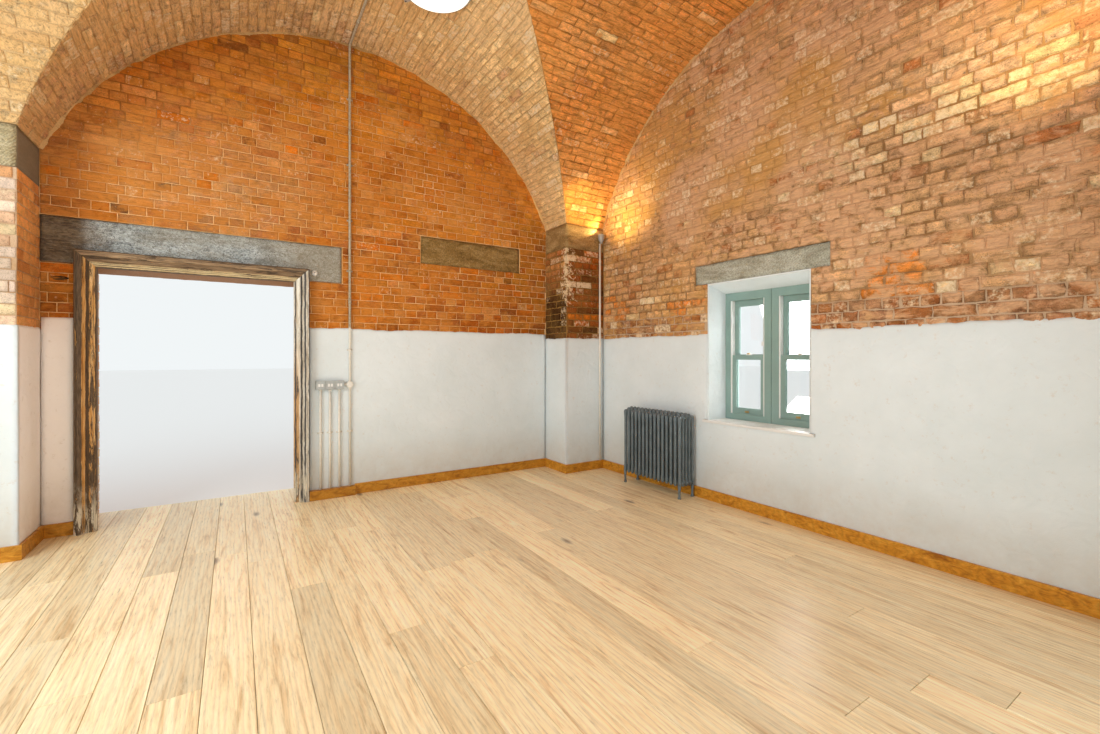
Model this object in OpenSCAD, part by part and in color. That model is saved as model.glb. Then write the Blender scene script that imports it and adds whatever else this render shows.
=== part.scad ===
// One bay of a brick groin-vaulted room from an oast house, in millimetres.
// X runs east, Y runs north and Z up. The origin is the centre of the bay, where it meets the ground.
// The north side holds the cased doorway, the east side the window, and the other two arches are open.

/* [Bay] */
// Clear width of the bay between opposite piers
span = 4500; // [3600:50:6000]
// Side of each square corner pier
pier_w = 1000; // [850:10:1300]
// Thickness of the floor boards and their bearers, which rest on the ground
floor_t = 40; // [25:1:60]
// Height of the vault's springing above the floor
spring_h = 2930; // [2760:10:3400]
// Height of the stone impost course under the springing
impost_h = 290; // [200:5:400]

/* [Vault] */
// Rise of the vault from springing to crown
rise = 1530; // [1200:10:1750]
// Thickness of the vault's brick shell
shell_t = 225; // [200:5:345]
// Height of the levelled brickwork behind the vault's feet, above the springing
haunch_h = 960; // [600:10:1150]
// How far the haunches reach in over the room from each pier's face
haunch_reach = 650; // [500:10:800]

/* [North wall] */
// Depth of the recess between the piers' south faces and the north wall
north_recess = 450; // [300:5:500]
// Width of the opening left in the wall for the doorway
door_w = 1550; // [1200:10:1700]
// Height of that opening above the floor
door_h = 2080; // [1950:5:2120]
// Brickwork left between the doorway and the north-west pier
door_margin = 238; // [200:1:400]
// Height of the door's stone lintel
door_lintel_h = 360; // [300:5:380]
// Bearing of that lintel beyond the doorway on its east side
door_lintel_bearing = 332; // [150:1:450]
// Width of the second stone lintel
blind_lintel_w = 1210; // [900:10:1300]
// Height of the second stone lintel
blind_lintel_h = 300; // [200:5:320]
// Drop of the second lintel's foot below the top of the door's lintel
blind_lintel_drop = 80; // [20:5:200]
// Distance from the north-east pier to the second lintel
blind_lintel_margin = 380; // [200:5:600]

/* [Door surround] */
// Width of the moulded face of the surround
case_w = 128; // [110:1:180]
// How far the surround laps over the wall at each side of the doorway
case_lap = 38; // [20:1:40]
// How far the surround's head laps over the lintel
head_lap = 108; // [90:1:120]
// How far the surround stands out from the wall
case_proud = 80; // [50:1:110]
// Thickness of the part of each jamb that lines the opening
liner_t = 60; // [30:1:70]
// Depth of the lining within the wall
liner_d = 100; // [60:1:200]
// Depth of each step in the moulded face
case_step = 22; // [12:1:26]

/* [East wall] */
// Depth of the recess between the piers' west faces and the east wall
east_recess = 550; // [400:5:600]
// Width of the window opening
win_w = 1000; // [700:10:1300]
// Distance of the window's centre north of the bay's centre
win_y = 165; // [-300:5:300]
// Height of the masonry sill above the floor
win_sill_h = 735; // [600:5:850]
// Height of the window lintel's foot above the floor
win_head_h = 2060; // [1900:5:2080]
// Height of the window's stone lintel
win_lintel_h = 190; // [150:5:260]
// Bearing of that lintel at each side of the window
win_lintel_bearing = 150; // [100:5:220]

/* [Window] */
// Depth from the wall's inner face to the window frame
reveal_d = 250; // [180:5:280]
// Depth of the frame from room side to weather side
frame_d = 130; // [110:1:150]
// Width of each frame's stiles
frame_stile_w = 68; // [50:1:85]
// Height of each frame's head
frame_head_h = 75; // [50:1:90]
// Height of each frame's cill above the window board
frame_cill_h = 55; // [40:1:70]
// Gap between the two frames
frame_gap = 4; // [2:0.5:10]
// Thickness of each sliding sash
sash_t = 38; // [30:1:44]
// Width of the sash stiles
sash_stile_w = 44; // [35:1:60]
// Height of the sashes' top and bottom rails
sash_rail_h = 50; // [40:1:70]
// Height of the meeting rails
meeting_rail_h = 36; // [28:1:45]
// Thickness of the glass
glass_t = 4; // [3:1:12]
// Thickness of the window board
board_t = 25; // [18:1:35]
// How far the window board stands out from the plaster
board_nose = 22; // [10:1:40]
// How far the board's nose runs past the opening at each side
board_ear = 40; // [20:1:80]
// Drop of the plastered window head from the room to the frame
soffit_drop = 80; // [40:1:100]
// Thickness of the plaster at the reveal's sides and at the head's front edge
reveal_t = 12; // [8:1:18]
// Depth of the outside stone sill from the wall's outer face
sill_d = 130; // [90:5:180]
// Height of the outside stone sill
sill_h = 70; // [50:1:100]

/* [Plaster and joinery] */
// Height of the lime plaster above the floor on the north wall
north_dado_h = 1660; // [1500:5:1800]
// Height of the lime plaster above the floor on the piers and the east wall
dado_h = 1580; // [1400:5:1750]
// Thickness of the lime plaster
dado_t = 12; // [8:1:18]
// Height of the skirting board
skirt_h = 100; // [70:1:150]
// Thickness of the skirting board
skirt_t = 20; // [14:1:28]
// Height of the boxing that the conduits run down into
boxing_h = 90; // [60:1:140]
// Depth of that boxing from the plaster
boxing_d = 60; // [30:1:80]
// How far the boxing runs on past the tall conduit's centre line
boxing_end = 46; // [20:1:90]

/* [Radiator] */
// Number of radiator sections
rad_count = 15; // [8:1:20]
// Pitch of the sections
rad_pitch = 55; // [46:1:70]
// Width of one section's columns
rad_column_w = 36; // [24:1:40]
// Depth of the radiator from front to back
rad_depth = 215; // [140:5:230]
// Height of the radiator's top above the floor
rad_h = 820; // [600:10:900]
// Height of the radiator's underside above the floor
rad_foot_h = 110; // [80:5:160]
// Gap between the radiator and the plaster
rad_gap = 30; // [20:1:50]
// Distance from the north-east pier to the radiator
rad_margin = 660; // [300:10:760]
// Number of columns in each section
rad_columns = 5; // [3:1:6]
// Width of the slots between the columns
rad_slot_w = 14; // [6:1:18]
// Height of the sections' top and bottom headers
rad_header_h = 70; // [50:1:100]
// Radius of the hubs that join the sections
rad_hub_r = 22; // [15:1:25]
// How far the end plugs stand out from the hubs
rad_plug = 10; // [4:1:20]
// Width of each leg
rad_leg_w = 30; // [20:1:34]

/* [Electrics] */
// Width and height of each metal switch box
box_w = 84; // [75:1:90]
// Depth of each switch box
box_d = 46; // [35:1:55]
// Height of the switch boxes' foot above the floor
box_z = 1047; // [900:1:1200]
// Distance from the surround to the switch boxes
box_margin = 56; // [32:1:112]
// Radius of the round conduit
conduit_r = 12; // [8:0.5:13]
// Radius of the round junction box
joint_r = 32; // [28:1:45]
// Depth of the round junction box
joint_d = 34; // [28:1:45]
// Distance between the last switch box and the round junction box's centre
joint_gap = 56; // [50:1:90]
// Radius of the round lamp on the vault
lamp_r = 290; // [150:5:330]
// Depth of that lamp's rim under the soffit, at the edge where the soffit comes lowest
lamp_edge_h = 22; // [15:1:60]
// Depth of the lamp's glass below its rim
lamp_glass_d = 40; // [20:1:80]
// Width of the lamp's metal rim
lamp_rim = 14; // [8:1:30]
// Depth of the conduit's socket in the lamp
lamp_socket = 30; // [10:1:60]
// Clear distance between the conduit's centre line and the lamp's rim
lamp_gap = 130; // [30:5:200]
// Distance of the lamp north of the bay's centre
lamp_y = 1370; // [1000:10:1500]
// Radius of the heads of the two corner spotlights
spot_r = 38; // [25:1:50]
// Length of those heads
spot_len = 110; // [80:5:140]
// Drop of the spotlights' lower edges below the vault's springing
spot_drop = 190; // [150:5:300]
// Distance of the corner conduits from the east wall
spot_margin = 70; // [50:1:120]

/* [Hidden] */

half = span / 2;
outer = half + pier_w;
spring_z = floor_t + spring_h;
crown_z = spring_z + rise;
intrados_r = (half * half + rise * rise) / (2 * rise);
extrados_r = intrados_r + shell_t;
centre_z = crown_z - intrados_r;
haunch_z = spring_z + haunch_h;
top_z = crown_z + shell_t;
impost_z = spring_z - impost_h;
north_y = half + north_recess;
east_x = half + east_recess;
through = 10;
round_fn = 360;

door_x0 = -half + door_margin;
door_x1 = door_x0 + door_w;
door_top_z = floor_t + door_h;
north_bed_z = door_top_z + door_lintel_h;
case_x0 = door_x0 - case_lap;
case_x1 = door_x1 + case_lap;
case_top_z = door_top_z + head_lap;
clear_x0 = case_x0 + case_w;
clear_x1 = case_x1 - case_w;
clear_top_z = case_top_z - case_w;
blind_x1 = half - blind_lintel_margin;
blind_x0 = blind_x1 - blind_lintel_w;
blind_z0 = north_bed_z - blind_lintel_drop;
blind_z1 = blind_z0 + blind_lintel_h;

win_y0 = win_y - win_w / 2;
win_y1 = win_y + win_w / 2;
win_sill_z = floor_t + win_sill_h;
win_head_z = floor_t + win_head_h;
win_lintel_z1 = win_head_z + win_lintel_h;
frame_x = east_x + reveal_d;
board_z = win_sill_z + board_t;
soffit_z = win_head_z - soffit_drop;
unit_w = (win_w - frame_gap) / 2;
unit_y = [win_y0, win_y + frame_gap / 2];
light_w = unit_w - 2 * frame_stile_w;
light_z0 = board_z + frame_cill_h;
light_z1 = soffit_z - frame_head_h;
meeting_z = (light_z0 + light_z1) / 2 + meeting_rail_h / 2;
lower_x = frame_x + (frame_d - 2 * sash_t) / 3;
upper_x = lower_x + sash_t;

north_dado_z = floor_t + north_dado_h;
dado_z = floor_t + dado_h;
skirt_z = floor_t + skirt_h;

rad_back_x = east_x - dado_t - rad_gap;
rad_x = rad_back_x - rad_depth;
rad_y1 = half - rad_margin;
rad_z0 = floor_t + rad_foot_h;
rad_z1 = floor_t + rad_h;

north_face_y = north_y - dado_t;
box_x0 = case_x1 + box_margin;
box_z0 = floor_t + box_z;
box_count = 3;
joint_x = box_x0 + box_count * box_w + joint_gap;
joint_z = box_z0 + box_w / 2;
riser_y = north_face_y - conduit_r;
boxing_x1 = joint_x + boxing_end;
boxing_z = floor_t + boxing_h;
lamp_x = joint_x + lamp_gap + lamp_r;
lamp_z = soffit_at(max(abs(lamp_x - lamp_r), abs(lamp_x + lamp_r))) - lamp_edge_h;
conduit_gap = 0.3;
crown_run_x = max(abs(joint_x), abs(joint_x + lamp_gap + lamp_socket));
crown_run_z = soffit_at(crown_run_x) - conduit_r - conduit_gap;
spot_x = east_x - spot_margin;
spot_y = half - dado_t - conduit_r;
spot_z0 = spring_z - spot_drop;

// Height of the soffit at the distance x from the vault's crown line
function soffit_at(x) = centre_z + sqrt(intrados_r * intrados_r - x * x);

brick = [0.72, 0.42, 0.26];
soffit_brick = [0.74, 0.52, 0.38];
stone = [0.42, 0.42, 0.40];
plaster = [0.90, 0.87, 0.82];
old_timber = [0.36, 0.24, 0.15];
oak = [0.72, 0.50, 0.30];
sage = [0.62, 0.68, 0.62];
iron = [0.16, 0.19, 0.21];
steel = [0.66, 0.68, 0.68];

// A box between two corners
module slab(x0, x1, y0, y1, z0, z1)
  translate([x0, y0, z0]) cube([x1 - x0, y1 - y0, z1 - z0]);

// A solid barrel of radius r that runs north to south above the height z0
module barrel(r, z0)
  intersection() {
    translate([0, outer + through, centre_z])
      rotate([90, 0, 0]) cylinder(r = r, h = 2 * (outer + through), $fn = round_fn);
    slab(-outer, outer, -outer, outer, z0, top_z + through);
  }

// Plan of one quarter of the vault, from the bay's centre out to the outer faces
module quarter()
  translate([0, 0, spring_z])
    linear_extrude(top_z) polygon([[0, 0], [outer, outer], [-outer, outer]]);

// One web of the groin vault, turned from its place on the north side
module web(turn)
  rotate([0, 0, turn])
    intersection() {
      difference() {
        barrel(extrados_r, spring_z);
        translate([0, outer + through, centre_z])
          rotate([90, 0, 0]) cylinder(r = intrados_r, h = 2 * (outer + through), $fn = round_fn);
      }
      quarter();
    }

// A corner pier, with sx and sy giving its side of the bay
module pier(sx, sy)
  color(brick) mirror([sx < 0 ? 1 : 0, 0, 0]) mirror([0, sy < 0 ? 1 : 0, 0])
    slab(half, outer, half, outer, 0, impost_z);

// The stone course on a pier
module impost(sx, sy)
  color(stone) mirror([sx < 0 ? 1 : 0, 0, 0]) mirror([0, sy < 0 ? 1 : 0, 0])
    slab(half, outer, half, outer, impost_z, spring_z);

// The levelled brickwork behind the feet of two webs
module haunch(sx, sy)
  color(brick) mirror([sx < 0 ? 1 : 0, 0, 0]) mirror([0, sy < 0 ? 1 : 0, 0])
    difference() {
      slab(half - haunch_reach, outer, half - haunch_reach, outer, spring_z, haunch_z);
      barrel(extrados_r, spring_z - through);
      rotate([0, 0, 90]) barrel(extrados_r, spring_z - through);
    }

// The boards and bearers inside the bay, out to the faces of its walls and arches
module floor()
  color(oak) difference() {
    slab(-outer, outer, -outer, outer, 0, floor_t);
    for (sx = [0, 1], sy = [0, 1])
      mirror([sx, 0, 0]) mirror([0, sy, 0])
        slab(half, outer + through, half, outer + through, -through, floor_t + through);
    slab(-half - through, door_x0, north_y, outer + through, -through, floor_t + through);
    slab(door_x1, half + through, north_y, outer + through, -through, floor_t + through);
    slab(east_x, outer + through, -half - through, half + through, -through, floor_t + through);
  }

module pier_north_west() pier(-1, 1);
module pier_north_east() pier(1, 1);
module pier_south_west() pier(-1, -1);
module pier_south_east() pier(1, -1);
module impost_north_west() impost(-1, 1);
module impost_north_east() impost(1, 1);
module impost_south_west() impost(-1, -1);
module impost_south_east() impost(1, -1);
module haunch_north_west() haunch(-1, 1);
module haunch_north_east() haunch(1, 1);
module haunch_south_west() haunch(-1, -1);
module haunch_south_east() haunch(1, -1);
module vault_north() color(soffit_brick) web(0);
module vault_east() color(soffit_brick) web(-90);
module vault_south() color(soffit_brick) web(180);
module vault_west() color(soffit_brick) web(90);

// Brickwork of the north wall on the two sides of the doorway
module north_wall_west_side()
  color(brick) slab(-half, door_x0, north_y, outer, 0, door_top_z);

module north_wall_east_side()
  color(brick) difference() {
    slab(door_x1, half, north_y, outer, 0, north_bed_z);
    slab(door_x1 - through, door_x1 + door_lintel_bearing, north_y - through, outer + through,
      door_top_z, north_bed_z + through);
    slab(blind_x0, blind_x1, north_y - through, outer + through, blind_z0, north_bed_z + through);
  }

// The arched part of the north wall, up to the underside of the vault
module north_wall_arch()
  color(brick) intersection() {
    difference() {
      slab(-half, half, north_y, outer, north_bed_z, top_z);
      slab(blind_x0, blind_x1, north_y - through, outer + through, north_bed_z - through, blind_z1);
    }
    union() {
      barrel(intrados_r, spring_z);
      slab(-half, half, north_y, outer, north_bed_z, spring_z);
    }
  }

module door_lintel()
  color(stone) slab(-half, door_x1 + door_lintel_bearing, north_y, outer, door_top_z, north_bed_z);

module blind_lintel()
  color(stone) slab(blind_x0, blind_x1, north_y, outer, blind_z0, blind_z1);

// The stepped section of the surround's face, as distances out from the clear opening
// and back from the wall's face
case_points = [
  [0, 0], [0, -case_step], [0.16 * case_w, -1.7 * case_step], [0.34 * case_w, -1.7 * case_step],
  [0.34 * case_w, -2.6 * case_step], [0.58 * case_w, -2.6 * case_step], [0.58 * case_w, -case_proud],
  [0.9 * case_w, -case_proud], [case_w, -0.7 * case_proud], [case_w, 0]
];

// A prism along Y through the surround, from an outline in X and Z
module case_mitre(points)
  translate([0, north_y + through, 0]) rotate([90, 0, 0])
    linear_extrude(case_proud + 2 * through) polygon(points);

// A jamb with its mitred face, and the lining that fixes it in the opening whose edge is at edge_x
module door_jamb(x, edge_x, side)
  color(old_timber) {
    intersection() {
      translate([x, north_y, floor_t]) mirror([side < 0 ? 1 : 0, 0, 0])
        linear_extrude(case_top_z - floor_t) polygon(case_points);
      case_mitre([
        [x, floor_t - through], [x + side * case_w, floor_t - through],
        [x + side * case_w, case_top_z], [x, clear_top_z]
      ]);
    }
    slab(min(edge_x, edge_x - side * liner_t), max(edge_x, edge_x - side * liner_t),
      north_y, north_y + liner_d, floor_t, door_top_z);
  }

module door_jamb_west() door_jamb(clear_x0, door_x0, -1);
module door_jamb_east() door_jamb(clear_x1, door_x1, 1);

module door_head()
  color(old_timber) intersection() {
    translate([case_x0, north_y, clear_top_z]) rotate([90, 0, 90])
      linear_extrude(case_x1 - case_x0) polygon([for (p = case_points) [p[1], p[0]]]);
    case_mitre([
      [clear_x0, clear_top_z], [clear_x1, clear_top_z], [case_x1, case_top_z], [case_x0, case_top_z]
    ]);
  }

// Brickwork of the east wall beside, below and above the window
module east_wall_side(y0, y1)
  color(brick) difference() {
    slab(east_x, outer, y0, y1, 0, win_lintel_z1);
    slab(east_x - through, outer + through, win_y0 - win_lintel_bearing, win_y1 + win_lintel_bearing,
      win_head_z, win_lintel_z1 + through);
  }

module east_wall_north_side() east_wall_side(win_y1, half);
module east_wall_south_side() east_wall_side(-half, win_y0);

module east_wall_below_window()
  color(brick) difference() {
    slab(east_x, outer, win_y0, win_y1, 0, win_sill_z);
    slab(outer - sill_d, outer + through, win_y0 - through, win_y1 + through,
      win_sill_z - sill_h, win_sill_z + through);
  }

module east_wall_arch()
  color(brick) intersection() {
    slab(east_x, outer, -half, half, win_lintel_z1, top_z);
    union() {
      rotate([0, 0, 90]) barrel(intrados_r, spring_z);
      slab(east_x, outer, -half, half, win_lintel_z1, spring_z);
    }
  }

module window_lintel()
  color(stone) slab(east_x, outer, win_y0 - win_lintel_bearing, win_y1 + win_lintel_bearing,
    win_head_z, win_lintel_z1);

module window_sill()
  color(stone) slab(outer - sill_d, outer, win_y0, win_y1, win_sill_z - sill_h, win_sill_z);

module window_board()
  color(plaster) {
    slab(east_x - through, frame_x, win_y0, win_y1, win_sill_z, board_z);
    slab(east_x - dado_t - board_nose, east_x - dado_t, win_y0 - board_ear, win_y1 + board_ear,
      win_sill_z, board_z);
    slab(east_x - dado_t - board_nose, east_x, win_y0, win_y1, win_sill_z, board_z);
  }

// The sloping plaster under the lintel
module window_soffit()
  color(plaster) translate([0, win_y1 - reveal_t, 0]) rotate([90, 0, 0])
    linear_extrude(win_w - 2 * reveal_t) polygon([
      [east_x, win_head_z], [east_x, win_head_z - reveal_t], [frame_x, soffit_z], [frame_x, win_head_z]
    ]);

module window_reveals()
  color(plaster) for (y = [win_y0, win_y1 - reveal_t])
    slab(east_x, frame_x, y, y + reveal_t, board_z, win_head_z);

// The two fixed frames that stand side by side in the opening
module window_frames()
  color(sage) for (y = unit_y) difference() {
    slab(frame_x, frame_x + frame_d, y, y + unit_w, win_sill_z, win_head_z);
    slab(frame_x - through, frame_x + frame_d + through, y + frame_stile_w, y + frame_stile_w + light_w,
      light_z0, light_z1);
  }

// A sash in each frame, with its foot at z0, its top at z1 and rails of the given heights
module sashes(x, z0, z1, foot, head)
  color(sage) for (y = unit_y) difference() {
    slab(x, x + sash_t, y + frame_stile_w, y + frame_stile_w + light_w, z0, z1);
    slab(x - through, x + sash_t + through, y + frame_stile_w + sash_stile_w,
      y + frame_stile_w + light_w - sash_stile_w, z0 + foot, z1 - head);
  }

// The panes of a pair of sashes
module panes(x, z0, z1)
  for (y = unit_y)
    slab(x + (sash_t - glass_t) / 2, x + (sash_t + glass_t) / 2, y + frame_stile_w + sash_stile_w,
      y + frame_stile_w + light_w - sash_stile_w, z0, z1);

module upper_sashes()
  sashes(upper_x, meeting_z - meeting_rail_h, light_z1, meeting_rail_h, sash_rail_h);

module lower_sashes()
  sashes(lower_x, light_z0, meeting_z, sash_rail_h, meeting_rail_h);

module window_glass()
  color([0.8, 0.9, 0.95, 0.4]) {
    panes(upper_x, meeting_z, light_z1 - sash_rail_h);
    panes(lower_x, light_z0 + sash_rail_h, meeting_z - meeting_rail_h);
  }

// Lime plaster on the lower walls
module north_wall_plaster()
  color(plaster) {
    slab(-half + dado_t, case_x0, north_face_y, north_y, floor_t, north_dado_z);
    slab(case_x1, half - dado_t, north_face_y, north_y, floor_t, north_dado_z);
  }

module east_wall_plaster()
  color(plaster) difference() {
    slab(east_x - dado_t, east_x, -half + dado_t, half - dado_t, floor_t, dado_z);
    slab(east_x - dado_t - through, east_x + through, win_y0, win_y1, win_sill_z, dado_z + through);
    slab(east_x - dado_t - through, east_x + through, win_y0 - board_ear, win_y1 + board_ear,
      win_sill_z, board_z);
  }

// Two layers of thickness t that meet on a pier's inner corner, each set back by the distance in.
// sx and sy give the pier's side of the bay, and end_x and end_y where the layers stop.
module pier_wrap(sx, sy, in, t, end_x, end_y, z0, z1)
  mirror([sx < 0 ? 1 : 0, 0, 0]) mirror([0, sy < 0 ? 1 : 0, 0]) {
    slab(half - in - t, end_x, half - in - t, half - in, z0, z1);
    slab(half - in - t, half - in, half - in - t, end_y, z0, z1);
  }

module pier_plaster()
  color(plaster) for (sx = [-1, 1], sy = [-1, 1])
    pier_wrap(sx, sy, 0, dado_t, sx > 0 ? east_x : outer, sy > 0 ? north_y : outer, floor_t, dado_z);

module skirting_boards()
  color(oak) {
    for (sx = [-1, 1], sy = [-1, 1])
      pier_wrap(sx, sy, dado_t, skirt_t, sx > 0 ? east_x - dado_t : outer,
        sy > 0 ? north_face_y : outer, floor_t, skirt_z);
    slab(-half + dado_t, case_x0, north_face_y - skirt_t, north_face_y, floor_t, skirt_z);
    slab(boxing_x1, half - dado_t, north_face_y - skirt_t, north_face_y, floor_t, skirt_z);
    slab(east_x - dado_t - skirt_t, east_x - dado_t, -half + dado_t, half - dado_t, floor_t, skirt_z);
  }

// The low timber boxing beside the doorway that the conduits run down into
module conduit_boxing()
  color(oak) slab(case_x1, boxing_x1, north_face_y - boxing_d, north_face_y, floor_t, boxing_z);

// One radiator section, seen from its end, as a plate with slots between its columns
module rad_outline() {
  column_pitch = rad_depth / rad_columns;
  difference() {
    union() {
      square([rad_depth, rad_z1 - rad_z0 - rad_depth / 4]);
      translate([rad_depth / 4, 0]) square([rad_depth / 2, rad_z1 - rad_z0]);
      for (x = [rad_depth / 4, rad_depth * 3 / 4])
        translate([x, rad_z1 - rad_z0 - rad_depth / 4]) circle(r = rad_depth / 4, $fn = 48);
    }
    for (i = [1 : rad_columns - 1])
      translate([i * column_pitch - rad_slot_w / 2, rad_header_h])
        square([rad_slot_w, rad_z1 - rad_z0 - 2 * rad_header_h]);
  }
}

module radiator()
  color(iron) {
    for (i = [0 : rad_count - 1])
      translate([rad_x, rad_y1 - i * rad_pitch, rad_z0]) rotate([90, 0, 0])
        linear_extrude(rad_column_w) rad_outline();
    for (z = [rad_z0 + rad_header_h / 2, rad_z1 - rad_header_h / 2])
      translate([rad_x + rad_depth / 2, rad_y1 + rad_plug, z]) rotate([90, 0, 0])
        cylinder(r = rad_hub_r, h = (rad_count - 1) * rad_pitch + rad_column_w + 2 * rad_plug, $fn = 32);
    for (i = [0, rad_count - 1], x = [rad_x, rad_back_x - rad_leg_w])
      slab(x, x + rad_leg_w, rad_y1 - i * rad_pitch - rad_column_w, rad_y1 - i * rad_pitch,
        floor_t, rad_z0);
  }

// The row of switch boxes beside the doorway
module switch_boxes()
  color(steel)
    slab(box_x0, box_x0 + box_count * box_w, north_face_y - box_d, north_face_y, box_z0, box_z0 + box_w);

// A straight run of conduit between two points on one axis
module run_up(x, y, z0, z1)
  translate([x, y, z0]) cylinder(r = conduit_r, h = z1 - z0, $fn = 24);
module run_north(x, y0, y1, z)
  translate([x, y1, z]) rotate([90, 0, 0]) cylinder(r = conduit_r, h = y1 - y0, $fn = 24);
module run_east(x0, x1, y, z)
  translate([x0, y, z]) rotate([0, 90, 0]) cylinder(r = conduit_r, h = x1 - x0, $fn = 24);

module conduits()
  color(steel) {
    for (i = [0 : box_count - 1])
      run_up(box_x0 + (i + 0.5) * box_w, riser_y, boxing_z, box_z0);
    run_east(box_x0 + box_count * box_w, joint_x, riser_y, joint_z);
    translate([joint_x, north_face_y, joint_z]) rotate([90, 0, 0])
      cylinder(r = joint_r, h = joint_d, $fn = 32);
    run_up(joint_x, riser_y, boxing_z, crown_run_z);
    translate([joint_x, riser_y, crown_run_z]) sphere(r = conduit_r, $fn = 24);
    run_north(joint_x, lamp_y, riser_y, crown_run_z);
    translate([joint_x, lamp_y, crown_run_z]) sphere(r = conduit_r, $fn = 24);
    run_east(joint_x, joint_x + lamp_gap + lamp_socket, lamp_y, crown_run_z);
  }

// A conduit and a spotlight in each of the window wall's two corners
module corner_conduits()
  color(steel) for (side = [0, 1])
    mirror([0, side, 0]) run_up(spot_x, spot_y, skirt_z, spot_z0);

module spotlights()
  color(steel) for (side = [0, 1])
    mirror([0, side, 0]) translate([spot_x, half - spot_r - dado_t, spot_z0])
      cylinder(r = spot_r, h = spot_len, $fn = 32);

// The lamp's drum, from its rim up to the curved soffit
module vault_lamp()
  color(steel) difference() {
    intersection() {
      translate([lamp_x, lamp_y, lamp_z]) cylinder(r = lamp_r, h = top_z - lamp_z, $fn = 64);
      barrel(intrados_r, spring_z);
    }
    translate([joint_x, lamp_y, crown_run_z]) rotate([0, 90, 0])
      cylinder(r = conduit_r, h = lamp_gap + lamp_socket, $fn = 24);
  }

module vault_lamp_glass()
  color([0.95, 0.95, 0.9, 0.6]) translate([lamp_x, lamp_y, lamp_z - lamp_glass_d])
    cylinder(r1 = lamp_r * 0.8, r2 = lamp_r - lamp_rim, h = lamp_glass_d, $fn = 64);

floor();
pier_north_west();
pier_north_east();
pier_south_west();
pier_south_east();
impost_north_west();
impost_north_east();
impost_south_west();
impost_south_east();
haunch_north_west();
haunch_north_east();
haunch_south_west();
haunch_south_east();
vault_north();
vault_east();
vault_south();
vault_west();
north_wall_west_side();
north_wall_east_side();
north_wall_arch();
door_lintel();
blind_lintel();
door_jamb_west();
door_jamb_east();
door_head();
east_wall_north_side();
east_wall_south_side();
east_wall_below_window();
east_wall_arch();
window_lintel();
window_sill();
window_board();
window_soffit();
window_reveals();
window_frames();
upper_sashes();
lower_sashes();
window_glass();
north_wall_plaster();
east_wall_plaster();
pier_plaster();
skirting_boards();
conduit_boxing();
radiator();
switch_boxes();
conduits();
corner_conduits();
spotlights();
vault_lamp();
vault_lamp_glass();
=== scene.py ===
import math
import random

import bmesh
import bpy
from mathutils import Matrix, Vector, noise


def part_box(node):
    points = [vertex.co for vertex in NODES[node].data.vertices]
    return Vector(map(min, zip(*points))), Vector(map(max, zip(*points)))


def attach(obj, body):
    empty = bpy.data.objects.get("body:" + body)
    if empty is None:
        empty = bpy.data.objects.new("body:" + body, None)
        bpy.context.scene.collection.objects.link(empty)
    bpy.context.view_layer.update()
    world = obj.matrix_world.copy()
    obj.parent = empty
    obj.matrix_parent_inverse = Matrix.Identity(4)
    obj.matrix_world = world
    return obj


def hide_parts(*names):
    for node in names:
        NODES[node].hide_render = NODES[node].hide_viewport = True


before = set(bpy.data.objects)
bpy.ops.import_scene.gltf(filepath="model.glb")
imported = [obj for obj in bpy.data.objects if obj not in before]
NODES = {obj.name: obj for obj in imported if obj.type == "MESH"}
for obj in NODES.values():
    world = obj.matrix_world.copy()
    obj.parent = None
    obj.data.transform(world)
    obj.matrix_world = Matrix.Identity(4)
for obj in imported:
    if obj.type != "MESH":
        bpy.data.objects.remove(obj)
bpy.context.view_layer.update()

# Sizes from the frame, in metres
PIER_LO, PIER_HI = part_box("pier_north_east")
HALF = PIER_LO.x
OUTER = PIER_HI.x
IMPOST_Z = PIER_HI.z
SPRING_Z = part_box("impost_north_east")[1].z
HAUNCH_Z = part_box("haunch_north_east")[1].z
FLOOR_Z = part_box("floor")[1].z
SHELL = 0.225
TOP_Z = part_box("vault_north")[1].z
CROWN_Z = TOP_Z - SHELL
RISE = CROWN_Z - SPRING_Z
RADIUS = (HALF * HALF + RISE * RISE) / (2 * RISE)
CENTRE_Z = CROWN_Z - RADIUS
BACK_RADIUS = RADIUS + SHELL
NORTH_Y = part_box("north_wall_arch")[0].y
EAST_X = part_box("east_wall_arch")[0].x
DOOR_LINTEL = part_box("door_lintel")
BLIND_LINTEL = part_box("blind_lintel")
WINDOW_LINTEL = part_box("window_lintel")
DOOR_X0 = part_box("north_wall_west_side")[1].x
DOOR_X1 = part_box("north_wall_east_side")[0].x
CLEAR_X0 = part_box("door_jamb_west")[1].x
CLEAR_X1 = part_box("door_jamb_east")[0].x
CASE_X0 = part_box("door_jamb_west")[0].x
CASE_X1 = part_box("door_jamb_east")[1].x
CASE_W = CLEAR_X0 - CASE_X0
CLEAR_TOP_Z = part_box("door_head")[1].z - CASE_W
LINING_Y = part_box("door_jamb_west")[1].y
LINER_T = 0.060
WINDOW_Y0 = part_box("east_wall_below_window")[0].y
WINDOW_Y1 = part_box("east_wall_below_window")[1].y
WINDOW_SILL_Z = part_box("east_wall_below_window")[1].z
WINDOW_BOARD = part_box("window_board")
FRAMES_LO, FRAMES_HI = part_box("window_frames")
NORTH_DADO_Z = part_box("north_wall_plaster")[1].z
DADO_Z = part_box("east_wall_plaster")[1].z
DADO_T = NORTH_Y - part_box("north_wall_plaster")[0].y
SKIRT_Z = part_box("skirting_boards")[1].z
SKIRT_T = 0.020
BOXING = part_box("conduit_boxing")

# The photograph's viewpoint
CAMERA_AT = (-1.015, -2.46, FLOOR_Z + 1.37)
CAMERA_YAW = math.radians(32.8)
CAMERA_LENS = 16.0
HORIZON_SHIFT = -0.010

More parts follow.
